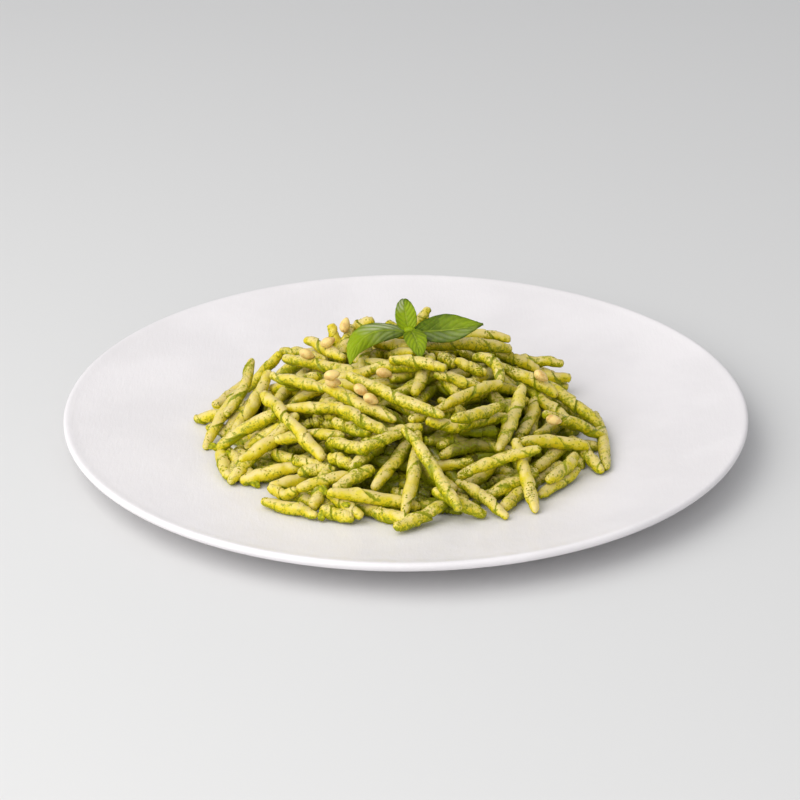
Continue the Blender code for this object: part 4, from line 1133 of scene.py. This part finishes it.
def leaf_points(spec, along, across):
    """Points of a leaf's blade, broad near its base, and the way its face looks there."""
    base, arch, tip, spread = (np.array(value, float) for value in spec[:4])
    width, fall, fold, wave, bias, blunt = spec[4:]
    share_ = np.maximum(np.sin(math.pi * along ** 0.78) ** blunt, 0.07)
    half = share_ * (1 + bias * across) * width / 2 * MM
    drop = (fall * across * across + fold * np.abs(across)) * share_ * MM
    ripple = wave * MM * np.abs(across) * np.sin(along * 11 + 2.0 * across)
    along = along[:, None]
    centre = ((1 - along) ** 2 * base + 2 * along * (1 - along) * arch + along ** 2 * tip) * MM
    ahead = (1 - along) * (arch - base) + along * (tip - arch)
    ahead /= np.linalg.norm(ahead, axis=1, keepdims=True)
    side = spread - (ahead @ spread)[:, None] * ahead
    side /= np.linalg.norm(side, axis=1, keepdims=True)
    face = np.cross(ahead, side)
    face *= np.where(face[:, 2:] > 0, 1.0, -1.0)
    return centre + side * (half * across)[:, None] + face * (ripple - drop)[:, None], face


def rib_pattern(along, across):
    """Closeness to a leaf's midrib and side ribs, and the swelling of the blade between them."""
    mid = np.exp(-(across / (0.05 * (1.1 - along) + 0.012)) ** 2)
    phase = (along - 0.36 * np.abs(across) ** 1.2 - 0.04) * LEAF_RIBS
    near = np.abs(phase - np.rint(phase)) / LEAF_RIBS
    side = np.exp(-(near / 0.010) ** 2) * np.clip(1.2 - np.abs(across), 0, 1) * (along < 0.92)
    swell = np.sin(math.pi * (phase - np.floor(phase))) * np.clip(np.abs(across) * 4, 0, 1)
    return np.maximum(mid, 0.75 * side), swell


def shape_leaf(mesh, grid, spec, pile, own_and_lit_tone, fade, shade, shine, reach, ribbed):
    """Spread a flat grid over a leaf's blade, with its ribs sunk and the blade swelling between them."""
    along, across = (grid[:, 1] + 1) / 2, grid[:, 0]
    edge = np.abs(across)
    rib, swell = rib_pattern(along, across)
    rib *= np.where(edge < 0.12, max(ribbed, 0.6), ribbed)
    points, face = leaf_points(spec, along, across)
    points += face * (0.25 * MM * (swell - rib) * np.minimum(1.0, 6 * (1 - along) + 0.2))[:, None]
    points[:, 2] = np.maximum(points[:, 2], pile.clearance(points[:, :2], np.full(len(points), 0.5 * MM)))
    # Painted sheen: on one side or both, between the ribs, over a stretch along the leaf
    sheen = np.where(across > 0, *shine) * swell * np.clip(8 * edge, 0, 1) * np.clip(4 - 4 * edge, 0, 1)
    sheen *= np.clip(5 * (along - reach[0]), 0, 1) * np.clip(5 * (reach[1] - along), 0, 1)
    # The blade's tone: its own and painted light, painted shade on the side that its spread points away from,
    # lighter on the swellings between the ribs, and darker towards the edges and the tip
    lot = own_and_lit_tone + fade * along - shade * (across < 0) + 0.6 * ribbed * (swell - 0.4)
    reshape_mesh(mesh, points, rib=rib, along=along, sheen=sheen,
                 lot=lot - 0.4 * edge ** 4 - 0.4 * np.clip(8 * along - 7, 0, 1))


def basil_material(look):
    material, tree, surface = new_material("Basil leaf", 0.45, Specular_IOR_Level=0.12, Coat_Weight=0.04,
                                           Coat_Roughness=0.3, Subsurface_Weight=0.12, Subsurface_Scale=0.003,
                                           Subsurface_Radius=(0.4, 1.0, 0.15))
    blotch, grain = mottle(tree, 420.0, 2600.0)
    # Where the lighter green goes: more towards the tip and where the tone is higher, partly painted light
    young_and_lit_green = math_node(tree, "ADD", ramp(tree, attribute(tree, "along"), 0.15, 0.65, 0.0, 0.6),
                      attribute(tree, "lot"), clamp=True)
    green = layered(tree, look.blade, (young_and_lit_green, 0.8, look.young_and_lit_green),
                    (ramp(tree, blotch, 0.4, 0.7), 0.22, look.young_and_lit_green),
                    (attribute(tree, "sheen"), 1, look.sheen), (attribute(tree, "rib"), 0.8, look.vein))
    feed(tree, surface, {"Base Color": green})
    bump(tree, surface, total(tree, (blotch, 1), (grain, 0.3)), 0.0003)
    return material


def add_basil(look):
    """Four leaves on a short stem, each a blade of its own thickness."""
    pile = laid_heap()[0]
    material = basil_material(look)
    for name, spec in LEAVES.items():
        mesh, grids = many("basil_leaf_" + name, 1, sheet(30, 70))
        shape_leaf(mesh, grids[0], spec, pile, *LEAF_LOOKS[name])
        leaf = place("basil_leaf_" + name, mesh, material, "basil", ["basil_sprig"])
        wall = leaf.modifiers.new("blade", "SOLIDIFY")
        wall.thickness, wall.offset = look.thickness, 0.0
    mesh, units = many("basil_stem", 1, ball(20, 14))
    none = np.zeros(len(units[0]))
    reshape_mesh(mesh, units[0] * BUD_RADII + np.array(BUD), rib=none, along=none, lot=none + 1)
    place("basil_stem", mesh, material, "basil", ["basil_sprig"])


# ---------------------------------------------------------------- stage

def look_along(ahead, place_, roll=0.0):
    """A placement that looks along a direction with its top up."""
    ahead = np.array(ahead) / np.linalg.norm(ahead)
    right = np.cross(ahead, (0.0, 0.0, 1.0))
    right /= np.linalg.norm(right)
    up = np.cross(right, ahead)
    right, up = (math.cos(roll) * right + math.sin(roll) * up, math.cos(roll) * up - math.sin(roll) * right)
    turned = Matrix(np.column_stack((right, up, -ahead)).tolist()).to_4x4()
    turned.translation = place_
    return turned


def add_floor(look):
    mesh, _ = many("floor", 1, sheet(1, 1, 4.0))
    material, tree, surface = new_material("Floor", 0.7)
    shade = [0.985 * value for value in look.floor]
    feed(tree, surface, {"Base Color": mixed(tree, mottle(tree, 3.0, 40.0)["Blotch"], look.floor, shade)})
    mesh.materials.append(material)
    floor = show("floor", mesh)


def add_light(name, power_, size, place_, tone):
    light = bpy.data.lights.new(name, "AREA")
    light.shape, light.size, light.energy, light.color = "SQUARE", size, power_, tone
    show(name, light).matrix_world = look_along(np.array(LIGHT_AIM) - np.array(place_), place_)


def add_camera():
    eye, ahead = view_ray((VIEW_SIZE / 2, VIEW_SIZE / 2))
    camera = bpy.data.cameras.new("camera")
    camera.sensor_width = 36.0
    camera.lens = VIEW_FOCAL / VIEW_SIZE * camera.sensor_width
    camera.clip_start, camera.clip_end = 0.05, 20.0
    seat = show("camera", camera)
    seat.matrix_world = look_along(ahead, eye, VIEW_ROLL)
    bpy.context.scene.camera = seat


def set_stage(look):
    add_floor(look)
    add_light("key light", look.key, 1.6, (-0.90, -0.48, 1.10), (1.0, 0.985, 0.96))
    add_light("fill light", look.fill, 1.8, (-0.55, -1.35, 0.85), (1.0, 0.99, 0.98))
    world = bpy.data.worlds.new("even light")
    world.use_nodes = True
    feed(world.node_tree, world.node_tree.nodes["Background"].inputs,
         {"Color": (0.97, 0.98, 1.0, 1.0), "Strength": look.sky})
    bpy.context.scene.world = world
    bpy.context.scene.view_settings.view_transform = "Standard"
    add_camera()


# ---------------------------------------------------------------- operators and panel

class PASTA_OT_plate(bpy.types.Operator):
    """Turn the plate and glaze it."""
    bl_idname = "pasta.turn_plate"
    bl_label = "Turn the plate"

    def execute(self, context):
        turn_plate(context.scene.pasta_plate.plate)
        return {"FINISHED"}


class PASTA_OT_trofie(bpy.types.Operator):
    """Lay the heap of trofie strand by strand."""
    bl_idname = "pasta.lay_trofie"
    bl_label = "Lay the trofie"

    def execute(self, context):
        look = context.scene.pasta_plate
        lay_trofie(look.trofie, look.pesto)
        return {"FINISHED"}


class PASTA_OT_pesto(bpy.types.Operator):
    """Strew chopped basil over the strands and dab sauce between them."""
    bl_idname = "pasta.add_pesto"
    bl_label = "Add the pesto"

    def execute(self, context):
        strew_flecks(context.scene.pasta_plate.pesto)
        dab_sauce(context.scene.pasta_plate.pesto)
        return {"FINISHED"}


class PASTA_OT_nuts(bpy.types.Operator):
    """Scatter the pine nuts."""
    bl_idname = "pasta.scatter_nuts"
    bl_label = "Scatter the pine nuts"

    def execute(self, context):
        look = context.scene.pasta_plate
        scatter_nuts(look.nuts, look.pesto)
        return {"FINISHED"}


class PASTA_OT_basil(bpy.types.Operator):
    """Set the basil sprig on top."""
    bl_idname = "pasta.add_basil"
    bl_label = "Add the basil"

    def execute(self, context):
        add_basil(context.scene.pasta_plate.basil)
        return {"FINISHED"}


class PASTA_OT_stage(bpy.types.Operator):
    """Set the floor, the lights and the camera."""
    bl_idname = "pasta.set_stage"
    bl_label = "Set the stage"

    def execute(self, context):
        set_stage(context.scene.pasta_plate.stage)
        return {"FINISHED"}


STEPS = (PASTA_OT_plate, PASTA_OT_trofie, PASTA_OT_pesto, PASTA_OT_nuts, PASTA_OT_basil, PASTA_OT_stage)


class PASTA_PT_dish(bpy.types.Panel):
    """The steps that dress the dish, and what each one uses."""
    bl_label = "Plate of pesto pasta"
    bl_space_type = "VIEW_3D"
    bl_region_type = "UI"
    bl_category = "Pasta"

    def draw(self, context):
        for step in STEPS:
            self.layout.operator(step.bl_idname)
        dish = context.scene.pasta_plate
        for part in (dish.plate, dish.trofie, dish.pesto, dish.nuts, dish.basil, dish.stage):
            box = self.layout.box()
            for key in part.__annotations__:
                box.prop(part, key)


CLASSES = (PlateLook, TrofieLook, PestoLook, BasilLook, NutLook, StageLook, PastaPlateLook, *STEPS,
           PASTA_PT_dish)


def register():
    for kind in CLASSES:
        bpy.utils.register_class(kind)
    bpy.types.Scene.pasta_plate = group_of(PastaPlateLook, "Plate of pesto pasta", "The look of the dish")


def unregister():
    del bpy.types.Scene.pasta_plate
    for kind in reversed(CLASSES):
        bpy.utils.unregister_class(kind)


def main():
    register()
    build_pesto_group()
    build_mottle_group()
    for step in STEPS:
        family, action = step.bl_idname.split(".")
        getattr(getattr(bpy.ops, family), action)()


if __name__ == "__main__":
    main()
